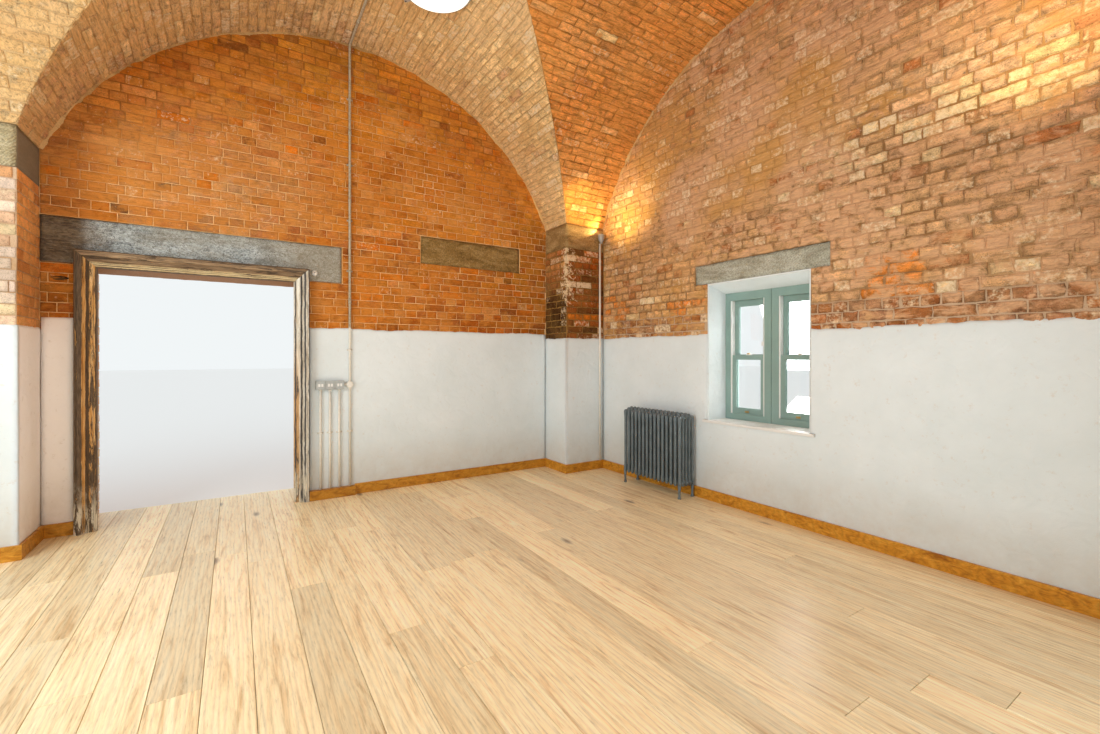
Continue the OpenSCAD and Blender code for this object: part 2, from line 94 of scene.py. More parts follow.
# Brick sizes along a course, and courses' heights
STRETCHER = 0.226
HEADER = 0.113
NORTH_GAUGE = 0.0755
EAST_GAUGE = 0.079
WEB_GAUGES = (0.0723, 0.0745)
RING_GAUGE = 0.079
# The share of stretchers laid as two headers, and the least length and area of a brick
HALVED = 0.14
SHORTEST = 0.028
SMALLEST = 0.0007
# How far a brick's bed, arrises and face stand out from its wall at least, and how far it is worn
BED, ARRIS_LEAST, FACE_LEAST = -0.004, 0.0005, 0.001
WORN = (0.002, 0.0045)
LEAST_HALF = 0.004
# How much a face leans along the course and upwards, and how far in from its edges its relief is
TILT_U, TILT_V = 0.004, 0.010
FIELD_U, FIELD_V = 0.016, 0.014


def camera():
    data = bpy.data.cameras.new("camera")
    data.lens = CAMERA_LENS
    data.sensor_width = 36.0
    data.sensor_fit = "HORIZONTAL"
    data.shift_y = HORIZON_SHIFT
    data.clip_start = 0.02
    made = bpy.data.objects.new("camera", data)
    made.location = CAMERA_AT
    made.rotation_euler = (math.pi / 2, 0, -CAMERA_YAW)
    bpy.context.scene.collection.objects.link(made)
    bpy.context.scene.camera = made


camera()


# Node materials
class Shader:
    """A material's node tree, with one short method for each kind of node."""

    def __init__(self, name, roughness=0.8, metallic=0.0, shine=0.5):
        self.material = bpy.data.materials.new(name)
        self.material.use_nodes = True
        self.tree = self.material.node_tree
        self.bsdf = self.tree.nodes["Principled BSDF"]
        for key, value in (("Roughness", roughness), ("Metallic", metallic), ("Specular IOR Level", shine)):
            self.bsdf.inputs[key].default_value = value
        self.coords = self.node("ShaderNodeTexCoord", "Object", {})

    def put(self, socket, value):
        if isinstance(value, bpy.types.NodeSocket):
            self.tree.links.new(value, socket)
        elif isinstance(value, tuple) and len(value) == 3 and socket.type == "RGBA":
            socket.default_value = (*value, 1.0)
        else:
            socket.default_value = value

    def node(self, kind, output, inputs, **settings):
        """Adds a node, fills its inputs by name or number, and gives one of its outputs."""
        made = self.tree.nodes.new(kind)
        for key, value in settings.items():
            setattr(made, key, value)
        for key, value in inputs.items():
            self.put(made.inputs[key], value)
        return made.outputs[output]

    def scaled(self, scale, coords=None):
        return self.node("ShaderNodeMapping", "Vector", {"Vector": coords or self.coords, "Scale": scale})

    def turned(self, angles):
        return self.node("ShaderNodeMapping", "Vector",
                         {"Vector": self.coords, "Rotation": [math.radians(angle) for angle in angles]})

    def shifted(self, amount, distance):
        """The coordinates moved by an attribute, so that neighbours don't share a pattern."""
        move = self.node("ShaderNodeVectorMath", 0,
                         {0: (distance, distance * 0.7, distance * 1.3), "Scale": amount}, operation="SCALE")
        return self.node("ShaderNodeVectorMath", 0, {0: self.coords, 1: move}, operation="ADD")

    def noise(self, scale, detail=4.0, rough=0.55, distortion=0.0, coords=None):
        return self.node("ShaderNodeTexNoise", "Fac", {
            "Vector": coords or self.coords, "Scale": scale, "Detail": detail, "Roughness": rough,
            "Distortion": distortion})

    def cells(self, scale, coords=None):
        return self.node("ShaderNodeTexVoronoi", "Distance",
                         {"Vector": coords or self.coords, "Scale": scale})

    def wave(self, scale, distortion, coords, direction, detail, detail_scale):
        return self.node("ShaderNodeTexWave", "Fac", {
            "Vector": coords, "Scale": scale, "Distortion": distortion, "Detail": detail,
            "Detail Scale": detail_scale}, bands_direction=direction)

    def ramp(self, factor, *stops):
        """A colour ramp. A stop is a place and a grey or a colour."""
        colours = self.node("ShaderNodeValToRGB", "Color", {"Fac": factor})
        elements = colours.node.color_ramp.elements
        while len(elements) < len(stops):
            elements.new(0.5)
        for element, (place, value) in zip(elements, stops):
            element.position = place
            colour = value if isinstance(value, tuple) else (value, value, value)
            element.color = (*colour, 1.0)
        return colours

    def mix(self, factor, a, b, blend="MIX"):
        return self.node("ShaderNodeMix", 2, {0: factor, 6: a, 7: b}, data_type="RGBA", blend_type=blend)

    def shaded(self, colour, shade, amount=1.0):
        """The colour times a shade."""
        return self.mix(amount, colour, shade, "MULTIPLY")

    def math(self, operation, a, b=0.0):
        return self.node("ShaderNodeMath", 0, {0: a, 1: b}, operation=operation)

    def product(self, a, b):
        return self.math("MULTIPLY", a, b)

    def add(self, a, b, k=None):
        """a + b, or a + b * k."""
        return self.math("ADD", a, b if k is None else self.product(b, k))

    def attribute(self, name, output="Color"):
        return self.node("ShaderNodeAttribute", output, {}, attribute_name=name)

    def axis(self, which, coords=None):
        return self.node("ShaderNodeSeparateXYZ", which, {0: coords or self.coords})

    def range(self, value, low, high, to_low=0.0, to_high=1.0):
        return self.node("ShaderNodeMapRange", "Result", {
            "Value": value, "From Min": low, "From Max": high, "To Min": to_low, "To Max": to_high})

    def bump(self, height, distance, strength):
        return self.node("ShaderNodeBump", "Normal", {
            "Height": height, "Distance": distance, "Strength": strength})

    def finish(self, colour, normal=None, roughness=None):
        for name, value in (("Base Color", colour), ("Normal", normal), ("Roughness", roughness)):
            if value is not None:
                self.put(self.bsdf.inputs[name], value)
        return self.material


LIME = (0.82, 0.66, 0.44)
# The painted shade of a hollow in the north wall
HOLLOW_SHADE = (0.030, 0.018, 0.010)
WEATHERED = (0.42, 0.36, 0.28)

# What was wiped over each kind of brickwork: its northern hue, its southern hue and where it starts
OCHRE_WASH = ((0.56, 0.300, 0.100), (0.64, 0.375, 0.205), 0.645)
TAN_WASH = ((0.66, 0.400, 0.165), (0.72, 0.470, 0.235), 0.63)
RED_WASH = ((0.60, 0.220, 0.036), (0.66, 0.300, 0.085), 0.70)
EMBER_WASH = ((0.72, 0.325, 0.085), (0.68, 0.280, 0.065), 0.64)


def smeared(s, colour, amount, wash):
    """Old mortar wiped over bricks and joints alike, from one hue in the north to another in the south."""
    north, south, least = wash
    lean = s.range(s.axis(1), -0.8, 2.6, 0.08, -0.10)
    hue = s.ramp(s.add(s.noise(1.4, 2.0, 0.6), lean), (0.42, north), (0.58, south))
    broad = s.product(s.noise(0.8, 1.0, 0.5), 0.45)
    wiped = s.add(s.noise(6.5, 5.0, 0.70, 0.5, s.scaled((1.0, 1.0, 1.5))), broad)
    return s.mix(s.ramp(wiped, (least, 0.0), (least + 0.11, amount)), colour, hue)


def splashed(s, colour):
    """Limewash splashed round a pier's arris, over bricks and joints alike."""
    away = s.add(s.math("SUBTRACT", s.math("ABSOLUTE", s.axis(0)), HALF),
                 s.math("SUBTRACT", s.math("ABSOLUTE", s.axis(1)), HALF))
    near = s.product(s.range(away, 0.0, 0.20, 0.225, 0.0), s.range(s.axis(2), DADO_Z + 0.22, DADO_Z + 0.5))
    patch = s.add(s.noise(19.0, 5.0, 0.75, 0.8), near)
    return s.mix(s.ramp(patch, (0.66, 0.0), (0.71, 0.92)), colour, (0.80, 0.61, 0.38))


def brick_material(name, relief, mottle, stain, dust, dust_amount, smear=0.0, wash=TAN_WASH, clouds=0.0,
                   along=None, streaks=0.0, splash=False):
    """Bricks tinted one by one. The tint's alpha says how much old lime a brick keeps."""
    s = Shader(name, roughness=0.88, shine=0.15)
    own = s.shifted(s.attribute("chance", "Fac"), 40.0)
    colour = s.attribute("tint")
    alpha = s.attribute("tint", "Alpha")
    mottled = s.noise(16.0, 3.0, 0.72, 0.0, own)
    colour = s.shaded(colour, s.ramp(mottled, (0.28, 1.0 - mottle), (0.5, 1.0), (0.75, 1.0 + mottle * 0.7)))
    if clouds:
        drift = s.noise(8.0, 3.0, 0.62, 0.8)
        colour = s.mix(s.ramp(drift, (0.36, clouds), (0.47, 0.0)), colour, (0.50, 0.125, 0.012))
        colour = s.mix(s.ramp(drift, (0.54, 0.0), (0.66, clouds)), colour, (0.62, 0.290, 0.065))
    pits = s.noise(150.0, 1.0, 0.6, 0.0, own)
    colour = s.shaded(colour, s.ramp(pits, (0.34, 0.45), (0.44, 1.0)), 0.35 + mottle)
    broad = s.ramp(s.noise(1.3, 2.0, 0.62), (0.38, 1.06), (0.72, 1.0 - stain))
    colour = s.shaded(colour, broad)
    dusting = s.product(s.ramp(s.noise(4.5, 4.0, 0.72), (0.38, 0.0), (0.72, 1.0)), dust_amount)
    colour = s.mix(dusting, colour, dust)
    if smear:
        colour = smeared(s, colour, smear, wash)
    if along:
        stretch = (9.0, 58.0, 58.0) if along == "X" else (58.0, 9.0, 58.0)
        drawn = s.noise(1.0, 3.0, 0.74, 0.9, s.scaled(stretch))
        colour = s.shaded(colour, s.ramp(drawn, (0.32, 1.0 - streaks), (0.48, 1.0),
                                         (0.68, 1.0 + streaks * 0.6)))
    if splash:
        colour = splashed(s, colour)
    patch = s.add(s.noise(34.0, 3.0, 0.75, 0.0, own), alpha, 0.50)
    colour = s.mix(s.ramp(patch, (0.64, 0.0), (0.86, 0.85)), colour, LIME)
    return s.finish(colour, s.bump(s.noise(70.0, 2.0, 0.76, 0.0, own), 0.0060, relief))


def mortar_material(name, pale, dark, smear=0.0, wash=TAN_WASH, foot=None, shade=None, splash=False):
    """Sandy lime mortar, greyer where it faces the weather.

    foot is the colour of the lowest courses above the dado. shade is a painted shade: the darker colour of
    the joints near the arch, where they lie in shadow.
    """
    s = Shader(name, roughness=0.95, shine=0.15)
    cloud = s.add(s.product(s.noise(0.9, 1.0, 0.5), 0.6), s.noise(6.0, 4.0, 0.72), 0.4)
    colour = s.mix(s.ramp(cloud, (0.40, 0.0), (0.60, 1.0)), dark, pale)
    # Painted shade: the joints darken towards the top and the sides of the wall, under the arch
    if shade:
        rim = s.add(s.product(s.math("ABSOLUTE", s.axis(0)), 0.55), s.axis(2))
        rim = s.add(rim, s.noise(2.2, 3.0, 0.6), 0.7)
        colour = s.mix(s.range(rim, 4.25, 4.75), colour, shade)
    if smear:
        colour = smeared(s, colour, smear, wash)
    if foot:
        edge = s.add(s.axis(2), s.noise(4.0), 0.12)
        colour = s.mix(s.range(edge, DADO_Z + 0.22, DADO_Z + 0.32, 0.85, 0.0), colour, foot)
    if splash:
        colour = splashed(s, colour)
    y_out = s.math("GREATER_THAN", s.math("ABSOLUTE", s.axis(1)), (NORTH_Y + OUTER) / 2)
    x_out = s.math("GREATER_THAN", s.math("ABSOLUTE", s.axis(0)), (EAST_X + OUTER) / 2)
    colour = s.mix(s.math("MAXIMUM", y_out, x_out), colour, WEATHERED)
    colour = s.shaded(colour, s.ramp(s.noise(260.0, 1.0, 0.6), (0.3, 0.62), (0.7, 1.2)), 0.6)
    return s.finish(colour, s.bump(s.noise(210.0, 1.0, 0.75), 0.004, 0.8))


def stone_material(name, dark, middle, pale, tooling, angle, brown=0.0, shaded_return=False, pitted=False):
    """Tooled stone with chisel lines. It can be brown to the west, darkened with painted shade on its return,
    or pitted all over.
    """
    s = Shader(name, roughness=0.85)
    cloud = s.noise(5.0, 9.0, 0.76, 0.6, s.scaled((0.8, 0.8, 2.2)))
    colour = s.ramp(cloud, (0.34, dark), (0.48, middle), (0.64, pale))
    colour = s.shaded(colour, s.ramp(s.noise(75.0, 4.0, 0.7), (0.36, 0.42), (0.56, 1.08)), 0.75)
    curls = s.noise(23.0, 5.0, 0.66, 3.0, s.scaled((1.0, 1.0, 1.7)))
    curls = s.math("ABSOLUTE", s.math("SUBTRACT", curls, 0.5))
    here = s.ramp(s.noise(11.0, 5.0, 0.7), (0.42, 0.0), (0.52, 0.9) if pitted else (0.56, 0.62))
    colour = s.mix(s.product(s.ramp(curls, (0.006, 1.0), (0.026, 0.0)), here), colour,
                   (0.075, 0.075, 0.068) if pitted else dark)
    specks = s.ramp(s.noise(48.0, 5.0, 0.7, 0.5), (0.58, 0.0), (0.68, 0.20 if pitted else 0.55))
    colour = s.mix(specks, colour, (0.52, 0.40, 0.22))
    if pitted:
        dashes = s.noise(1.0, 7.0, 0.80, 1.6, s.scaled((34.0, 34.0, 66.0)))
        colour = s.shaded(colour, s.ramp(dashes, (0.42, 0.36), (0.48, 0.95), (0.60, 1.25)))
    if brown:
        west = s.range(s.add(s.axis(0), s.noise(3.0), 0.7), -1.72, -1.50, 1.0, 0.0)
        weathered = s.ramp(s.noise(1.0, 6.0, 0.78, 1.2, s.scaled((16.0, 34.0, 70.0))),
                           (0.40, (0.042, 0.028, 0.017)), (0.50, (0.130, 0.086, 0.046)),
                           (0.62, (0.26, 0.190, 0.115)))
        colour = s.mix(s.product(west, brown), colour, weathered)
        soil = s.ramp(s.noise(2.2, 5.0, 0.6, 0.0, s.scaled((0.5, 1.0, 2.0))), (0.50, 0.0), (0.64, 0.40))
        colour = s.mix(soil, colour, (0.34, 0.29, 0.20))
        colour = s.mix(s.range(s.axis(0), -0.95, -0.50, 0.0, 0.55), colour, (0.33, 0.255, 0.145))
        under = s.range(s.axis(2), DOOR_LINTEL[0].z + 0.004, DOOR_LINTEL[0].z + 0.012, 0.85, 0.0)
        colour = s.mix(under, colour, (0.38, 0.165, 0.045))
    # Painted shade: the return and the faces north of the south face are darkened
    if shaded_return:
        colour = s.mix(s.range(s.axis(1), HALF + 0.004, HALF + 0.02, 0.0, 0.85), colour, (0.22, 0.185, 0.140))
    lines = s.wave(tooling, 1.6, s.turned((angle, angle, 0)), "Z", 3.0, 2.5)
    height = s.add(s.product(lines, 0.6), s.noise(120.0, 3.0, 0.7))
    return s.finish(colour, s.bump(height, 0.005, 0.75))


def plaster_material():
    """Trowelled lime plaster, dirtier near the floor, with painted light that makes it paler and pinker in
    the north-west recess.
    """
    s = Shader("lime_plaster", roughness=0.78, shine=0.3)
    colour = s.ramp(s.noise(1.6, 4.0, 0.6), (0.34, (0.69, 0.745, 0.755)), (0.66, (0.76, 0.81, 0.825)))
    # Painted light: paler, pinker plaster on the north-west pier's return and the north wall beside it
    west = s.product(s.range(s.axis(0), -2.10, -1.98, 1.0, 0.0),
                     s.range(s.axis(1), HALF - 0.006, HALF + 0.012, 0.0, 0.95))
    colour = s.mix(west, colour, (1.0, 0.92, 0.88))
    low = s.product(s.range(s.axis(2), 0.12, 0.55, 1.0, 0.0), s.noise(7.0, 3.0, 0.7))
    colour = s.mix(s.product(low, 0.62), colour, (0.50, 0.37, 0.25))
    scuffs = s.ramp(s.noise(22.0, 4.0, 0.75), (0.60, 0.0), (0.72, 0.35))
    colour = s.mix(scuffs, colour, (0.62, 0.50, 0.39))
    sweep = s.noise(9.0, 1.0, 0.5, 1.2)
    height = s.add(s.product(sweep, 1.6), s.noise(160.0, 1.0, 0.7), 0.25)
    return s.finish(colour, s.bump(height, 0.006, 0.55))


def oak_material(name, pale, mid, dark, along, roughness):
    """Oiled oak with its grain along Y, or along X and Y alike, shifted from board to board."""
    s = Shader(name, shine=0.35)
    chance = s.attribute("chance", "Fac")
    own = s.shifted(chance, 30.0)
    stretch = {"Y": (9.0, 0.7, 9.0), "ANY": (4.0, 4.0, 9.0)}[along]
    grain = s.noise(2.4, 5.0, 0.62, 1.2, s.scaled(stretch, own))
    fine = s.noise(14.0, 3.0, 0.7, 0.0, s.scaled(stretch, own))
    colour = s.ramp(grain, (0.28, dark), (0.46, mid), (0.68, pale))
    colour = s.shaded(colour, s.ramp(fine, (0.32, 0.72), (0.55, 1.10)), 0.5)
    rays = s.wave(1.4, 9.0, s.scaled(stretch, own), "X" if along == "Y" else "Y", 3.0, 1.4)
    colour = s.shaded(colour, s.ramp(rays, (0.0, 0.66), (0.35, 1.0), (1.0, 1.1)), 0.34)
    knots = s.ramp(s.cells(1.15, s.scaled((2.2, 0.8, 1.0) if along == "Y" else (1.0, 1.0, 1.0), own)),
                   (0.03, 1.0), (0.085, 0.0))
    colour = s.mix(s.product(knots, 0.75), colour, (0.10, 0.045, 0.018))
    colour = s.shaded(colour, s.ramp(chance, (0.0, 0.86), (0.5, 1.0), (1.0, 1.12)))
    rough = s.range(fine, 0.3, 0.7, roughness - 0.07, roughness + 0.12)
    return s.finish(colour, s.bump(fine, 0.0014, 0.5), rough)


def old_timber_material():
    """Reclaimed moulding. Its tint holds the place across, the depth and the run, its alpha the member."""
    s = Shader("old_timber", roughness=0.62, shine=0.35)
    place = s.attribute("tint")
    member = s.attribute("tint", "Alpha")
    east = s.math("GREATER_THAN", member, 0.25)
    head = s.math("GREATER_THAN", member, 0.75)

    def by_member(west_value, east_value, head_value):
        return s.mix(head, s.mix(east, west_value, east_value), head_value)

    wander = s.noise(5.0, 6.0, 0.7, 0.0, s.scaled((1.0, 1.0, 1.0), place))
    waver = s.product(s.math("SUBTRACT", wander, 0.5), 0.16)
    across = s.add(s.math("DIVIDE", s.axis(0, place), CASE_W), waver)
    streak = s.scaled((34.0, 34.0, 3.2), place)
    grain = s.noise(1.6, 8.0, 0.66, 0.7, streak)
    fine = s.noise(5.0, 6.0, 0.7, 0.2, streak)
    tan = s.ramp(grain, (0.30, (0.38, 0.17, 0.045)), (0.48, (0.66, 0.35, 0.11)), (0.66, (0.84, 0.56, 0.27)))
    bleached = s.ramp(grain, (0.32, (0.38, 0.31, 0.23)), (0.46, (0.64, 0.57, 0.46)),
                      (0.60, (0.84, 0.79, 0.69)))
    low = s.product(s.range(s.axis(2), 1.0, 1.6, 1.0, 0.0), s.range(across, 0.40, 0.30, 0.0, 1.0))
    bleached = s.mix(low, bleached, s.ramp(grain, (0.32, (0.34, 0.17, 0.06)), (0.62, (0.68, 0.44, 0.22))))
    walnut = s.ramp(grain, (0.34, (0.20, 0.120, 0.065)), (0.62, (0.42, 0.285, 0.165)))
    walnut = s.mix(s.range(across, 0.30, 0.36, 1.0, 0.0), walnut,
                   s.ramp(grain, (0.34, (0.46, 0.33, 0.17)), (0.6, (0.74, 0.58, 0.33))))
    wood = by_member(tan, bleached, walnut)
    finish = s.ramp(fine, (0.34, (0.022, 0.014, 0.010)), (0.66, (0.17, 0.115, 0.075)))
    slate = s.ramp(fine, (0.34, (0.020, 0.020, 0.024)), (0.66, (0.12, 0.11, 0.105)))
    finish = s.mix(s.math("SUBTRACT", east, head), finish, slate)
    # Bands across each member where the dark finish shows: partly old finish kept in the hollows, partly
    # painted shadow along the inner arris
    zones = by_member(s.ramp(across, (0.0, 0.80), (0.06, 0.74), (0.08, 0.46), (0.34, 0.48), (0.37, 0.68),
                             (0.46, 0.66), (0.50, 0.38), (0.62, 0.42), (0.66, 0.80), (0.74, 0.78),
                             (0.78, 0.60), (0.93, 0.62), (0.95, 0.86)),
                      s.ramp(across, (0.0, 0.34), (0.05, 0.40), (0.07, 0.76), (0.11, 0.70), (0.14, 0.40),
                             (0.42, 0.42), (0.45, 0.78), (0.52, 0.74), (0.55, 0.38), (0.64, 0.38),
                             (0.67, 0.80), (0.75, 0.78), (0.78, 0.38), (0.92, 0.40), (0.95, 0.86)),
                      s.ramp(across, (0.0, 0.84), (0.05, 0.78), (0.08, 0.36), (0.15, 0.40), (0.17, 0.62),
                             (0.19, 0.38), (0.24, 0.38), (0.27, 0.60), (0.29, 0.38), (0.33, 0.50),
                             (0.92, 0.50), (0.95, 0.74)))
    lower = s.range(s.axis(2), 0.2, 1.5, 0.05, -0.02)
    patchy = s.noise(1.0, 7.0, 0.75, 0.5, s.scaled((26.0, 26.0, 3.0), place))
    # Dark finish and painted shade together, with more of it lower down
    dark_finish_and_shade = s.add(s.add(patchy, zones), lower)
    dark = s.ramp(dark_finish_and_shade, (0.97, 0.0), (1.02, 0.95))
    colour = s.mix(dark, wood, finish)
    flaked = s.noise(1.3, 8.0, 0.72, 0.4, s.scaled((30.0, 30.0, 5.0), place))
    flakes = s.ramp(flaked, (0.47, 0.0), (0.52, 1.0))
    foot = s.range(s.add(s.axis(2), s.noise(9.0), 0.4), 0.40, 0.62, 0.92, 0.0)
    colour = s.mix(s.product(flakes, foot), colour, (0.70, 0.62, 0.48))
    height = s.add(s.product(dark, 0.5), fine)
    return s.finish(colour, s.bump(height, 0.003, 0.9), s.range(fine, 0.3, 0.7, 0.42, 0.8))


def painted_material(name, colour, worn, roughness=0.42):
    """Brushed paint, worn through in small marks."""
    s = Shader(name, roughness)
    shade = s.ramp(s.noise(4.0, 6.0, 0.6), (0.3, 0.9), (0.7, 1.06))
    tone = s.shaded(colour, shade)
    marks = s.ramp(s.noise(38.0, 8.0, 0.75), (0.63, 0.0), (0.72, 0.6))
    tone = s.mix(marks, tone, worn)
    brushed = s.noise(1.0, 5.0, 0.6, 0.2, s.scaled((60.0, 60.0, 4.0)))
    gloss = s.range(brushed, 0.3, 0.7, roughness - 0.08, roughness + 0.1)
    return s.finish(tone, s.bump(brushed, 0.0009, 0.6), gloss)


def conduit_material(name, paint_top):
    """Galvanised conduit, painted white up to a height."""
    s = Shader(name, roughness=0.42)
    mottle = s.cells(60.0)
    steel = s.ramp(mottle, (0.0, (0.26, 0.20, 0.13)), (0.6, (0.46, 0.39, 0.28)))
    edge = s.add(s.axis(2), s.noise(20.0), 0.05)
    bare = s.range(edge, paint_top + 0.01, paint_top + 0.03)
    paint = s.ramp(s.noise(30.0, 6.0, 0.7), (0.3, (0.72, 0.67, 0.58)), (0.7, (0.84, 0.80, 0.72)))
    return s.finish(s.mix(bare, paint, steel), s.bump(s.noise(120.0, 4.0), 0.0006, 0.6))


def metal_material(name, colour, roughness, metallic):
    s = Shader(name, roughness, metallic)
    shade = s.ramp(s.noise(24.0, 6.0, 0.65), (0.3, 0.80), (0.7, 1.12))
    scratches = s.noise(60.0, 3.0, 0.6, 0.0, s.scaled((1.0, 1.0, 0.2)))
    return s.finish(s.shaded(colour, shade), s.bump(scratches, 0.0006, 0.6),
                    s.range(scratches, 0.3, 0.7, roughness - 0.08, roughness + 0.12))


def iron_material():
    s = Shader("radiator_paint", roughness=0.38)
    shade = s.ramp(s.noise(9.0, 6.0, 0.6), (0.3, (0.090, 0.116, 0.128)), (0.7, (0.165, 0.205, 0.222)))
    dust = s.ramp(s.noise(18.0, 6.0, 0.7), (0.5, 0.0), (0.75, 0.35))
    colour = s.mix(dust, shade, (0.15, 0.15, 0.145))
    return s.finish(colour, s.bump(s.noise(90.0, 5.0, 0.65), 0.0016, 0.7),
                    s.range(s.noise(40.0), 0.3, 0.7, 0.3, 0.5))


def glass_material():
    s = Shader("window_glass", roughness=0.03)
    s.bsdf.inputs["Transmission Weight"].default_value = 1.0
    s.bsdf.inputs["IOR"].default_value = 1.45
    tint = s.ramp(s.noise(3.0), (0.3, (0.95, 0.98, 0.975)), (0.7, (1.0, 1.0, 1.0)))
    return s.finish(tint, s.bump(s.noise(2.5, 2.0), 0.004, 0.25))


def glow_material(name, colour, strength):
    s = Shader(name, roughness=0.3)
    frosted = s.ramp(s.noise(40.0, 3.0), (0.3, 0.9), (0.7, 1.0))
    s.bsdf.inputs["Emission Color"].default_value = (*colour, 1.0)
    s.bsdf.inputs["Emission Strength"].default_value = strength
    s.material.cycles.emission_sampling = "NONE"
    return s.finish(s.shaded(colour, frosted))


# Pieces
class Pile:
    """Vertices, faces, tints and chances gathered into one mesh object."""

    def __init__(self):
        self.points = []
        self.faces = []
        self.tints = []
        self.chances = []

    def add(self, points, faces, tint=(1.0, 1.0, 1.0, 1.0), chance=0.5):
        start = len(self.points)
        self.points.extend(points)
        self.faces.extend([tuple(start + i for i in face) for face in faces])
        self.tints.extend(tint if isinstance(tint, list) else [tint] * len(points))
        self.chances.extend([chance] * len(points))

    def piece(self, name, material, slot, replaces=(), smooth=False):
        mesh = bpy.data.meshes.new(name)
        mesh.from_pydata([tuple(point) for point in self.points], [], self.faces)
        tints = mesh.color_attributes.new("tint", "FLOAT_COLOR", "POINT")
        tints.data.foreach_set("color", [value for tint in self.tints for value in tint])
        chances = mesh.attributes.new("chance", "FLOAT", "POINT")
        chances.data.foreach_set("value", self.chances)
        mesh.polygons.foreach_set("use_smooth", [smooth] * len(mesh.polygons))
        mesh.materials.append(material)
        mesh.update()
        placed(name, mesh, replaces)


def placed(name, mesh, replaces):
    """Puts a mesh into the scene under the root body, and hides the CAD parts that it replaces."""
    made = bpy.data.objects.new(name, mesh)
    bpy.context.scene.collection.objects.link(made)
    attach(made, "root")
    if replaces:
        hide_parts(*replaces)


def bars(name, material, boxes, bevel, replaces=(), segments=2):
    """One piece made of boxes with rounded arrises."""
    shape = bmesh.new()
    for lo, hi in boxes:
        lo, hi = Vector(lo), Vector(hi)
        made = bmesh.ops.create_cube(shape, size=1.0)
        for vertex in made["verts"]:
            vertex.co = Vector([lo[k] + (vertex.co[k] + 0.5) * (hi[k] - lo[k]) for k in range(3)])
    bmesh.ops.bevel(shape, geom=shape.edges[:], offset=bevel, segments=segments, profile=0.6, affect="EDGES",
                    clamp_overlap=True)
    mesh = bpy.data.meshes.new(name)
    shape.to_mesh(mesh)
    shape.free()
    mesh.materials.append(material)
    placed(name, mesh, replaces)


def dressed(material, *names):
    """Gives CAD nodes a material and leaves their shape."""
    for name in names:
        mesh = NODES[name].data
        mesh.materials.clear()
        mesh.materials.append(material)


def strips(rows, columns, closed=False):
    """Faces of a grid of points listed row by row."""
    last = columns if closed else columns - 1
    return [(r * columns + c, r * columns + (c + 1) % columns, (r + 1) * columns + (c + 1) % columns,
             (r + 1) * columns + c) for r in range(rows - 1) for c in range(last)]


def turns(count):
    """Angles that share out a whole turn."""
    return [2 * math.pi * k / count for k in range(count)]


def tube(pile, points, radius, sides=16):
    """A round tube along a list of points, with one radius or one for each point."""
    points = [Vector(point) for point in points]
    side = None
    rings = []
    for k, point in enumerate(points):
        ahead = points[min(k + 1, len(points) - 1)] - points[max(k - 1, 0)]
        ahead.normalize()
        if side is None:
            side = ahead.orthogonal().normalized()
        side = (side - ahead * side.dot(ahead)).normalized()
        up = ahead.cross(side)
        wide = radius[k] if isinstance(radius, list) else radius
        rings += [point + (side * math.cos(a) + up * math.sin(a)) * wide for a in turns(sides)]
    faces = strips(len(points), sides, closed=True)
    faces.append(tuple(reversed(range(sides))))
    faces.append(tuple(range((len(points) - 1) * sides, len(points) * sides)))
    pile.add(rings, faces)


def bend(points, radius):
    """A path with its corners rounded."""
    steps = 6
    points = [Vector(point) for point in points]
    path = [points[0]]
    for before, corner, after in zip(points, points[1:], points[2:]):
        back = (before - corner).normalized()
        on = (after - corner).normalized()
        for k in range(steps + 1):
            t = k / steps
            path.append(corner + back * radius * (1 - t) ** 2 + on * radius * t ** 2)
    path.append(points[-1])
    return path


def lathe(pile, profile, centre, axis, sides):
    """Turns a profile of (radius, distance along the axis) about an axis through a point."""
    points = []
    for radius, along in profile:
        for a in turns(sides):
            p, q = radius * math.cos(a), radius * math.sin(a)
            local = (q, along, p) if axis == "Y" else (p, q, along)
            points.append(Vector(centre) + Vector(local))
    pile.add(points, strips(len(profile), sides, closed=True))


# Brickwork
def clip(polygon, line):
    """The part of a convex outline where a * u + b * v <= c."""
    a, b, c = line
    kept = []
    for (u0, v0), (u1, v1) in zip(polygon, polygon[1:] + polygon[:1]):
        d0 = a * u0 + b * v0 - c
        d1 = a * u1 + b * v1 - c
        if d0 <= 0:
            kept.append((u0, v0))
        if d0 * d1 < 0:
            t = d0 / (d0 - d1)
            kept.append((u0 + t * (u1 - u0), v0 + t * (v1 - v0)))
    return kept


def area(polygon):
    pairs = zip(polygon, polygon[1:] + polygon[:1])
    return abs(sum(u0 * v1 - u1 * v0 for (u0, v0), (u1, v1) in pairs)) / 2


def split_edges(outline, step):
    points = []
    for (u0, v0), (u1, v1) in zip(outline, outline[1:] + outline[:1]):
        count = max(1, round(math.hypot(u1 - u0, v1 - v0) / step))
        points.extend([(u0 + (u1 - u0) * k / count, v0 + (v1 - v0) * k / count) for k in range(count)])
    return points


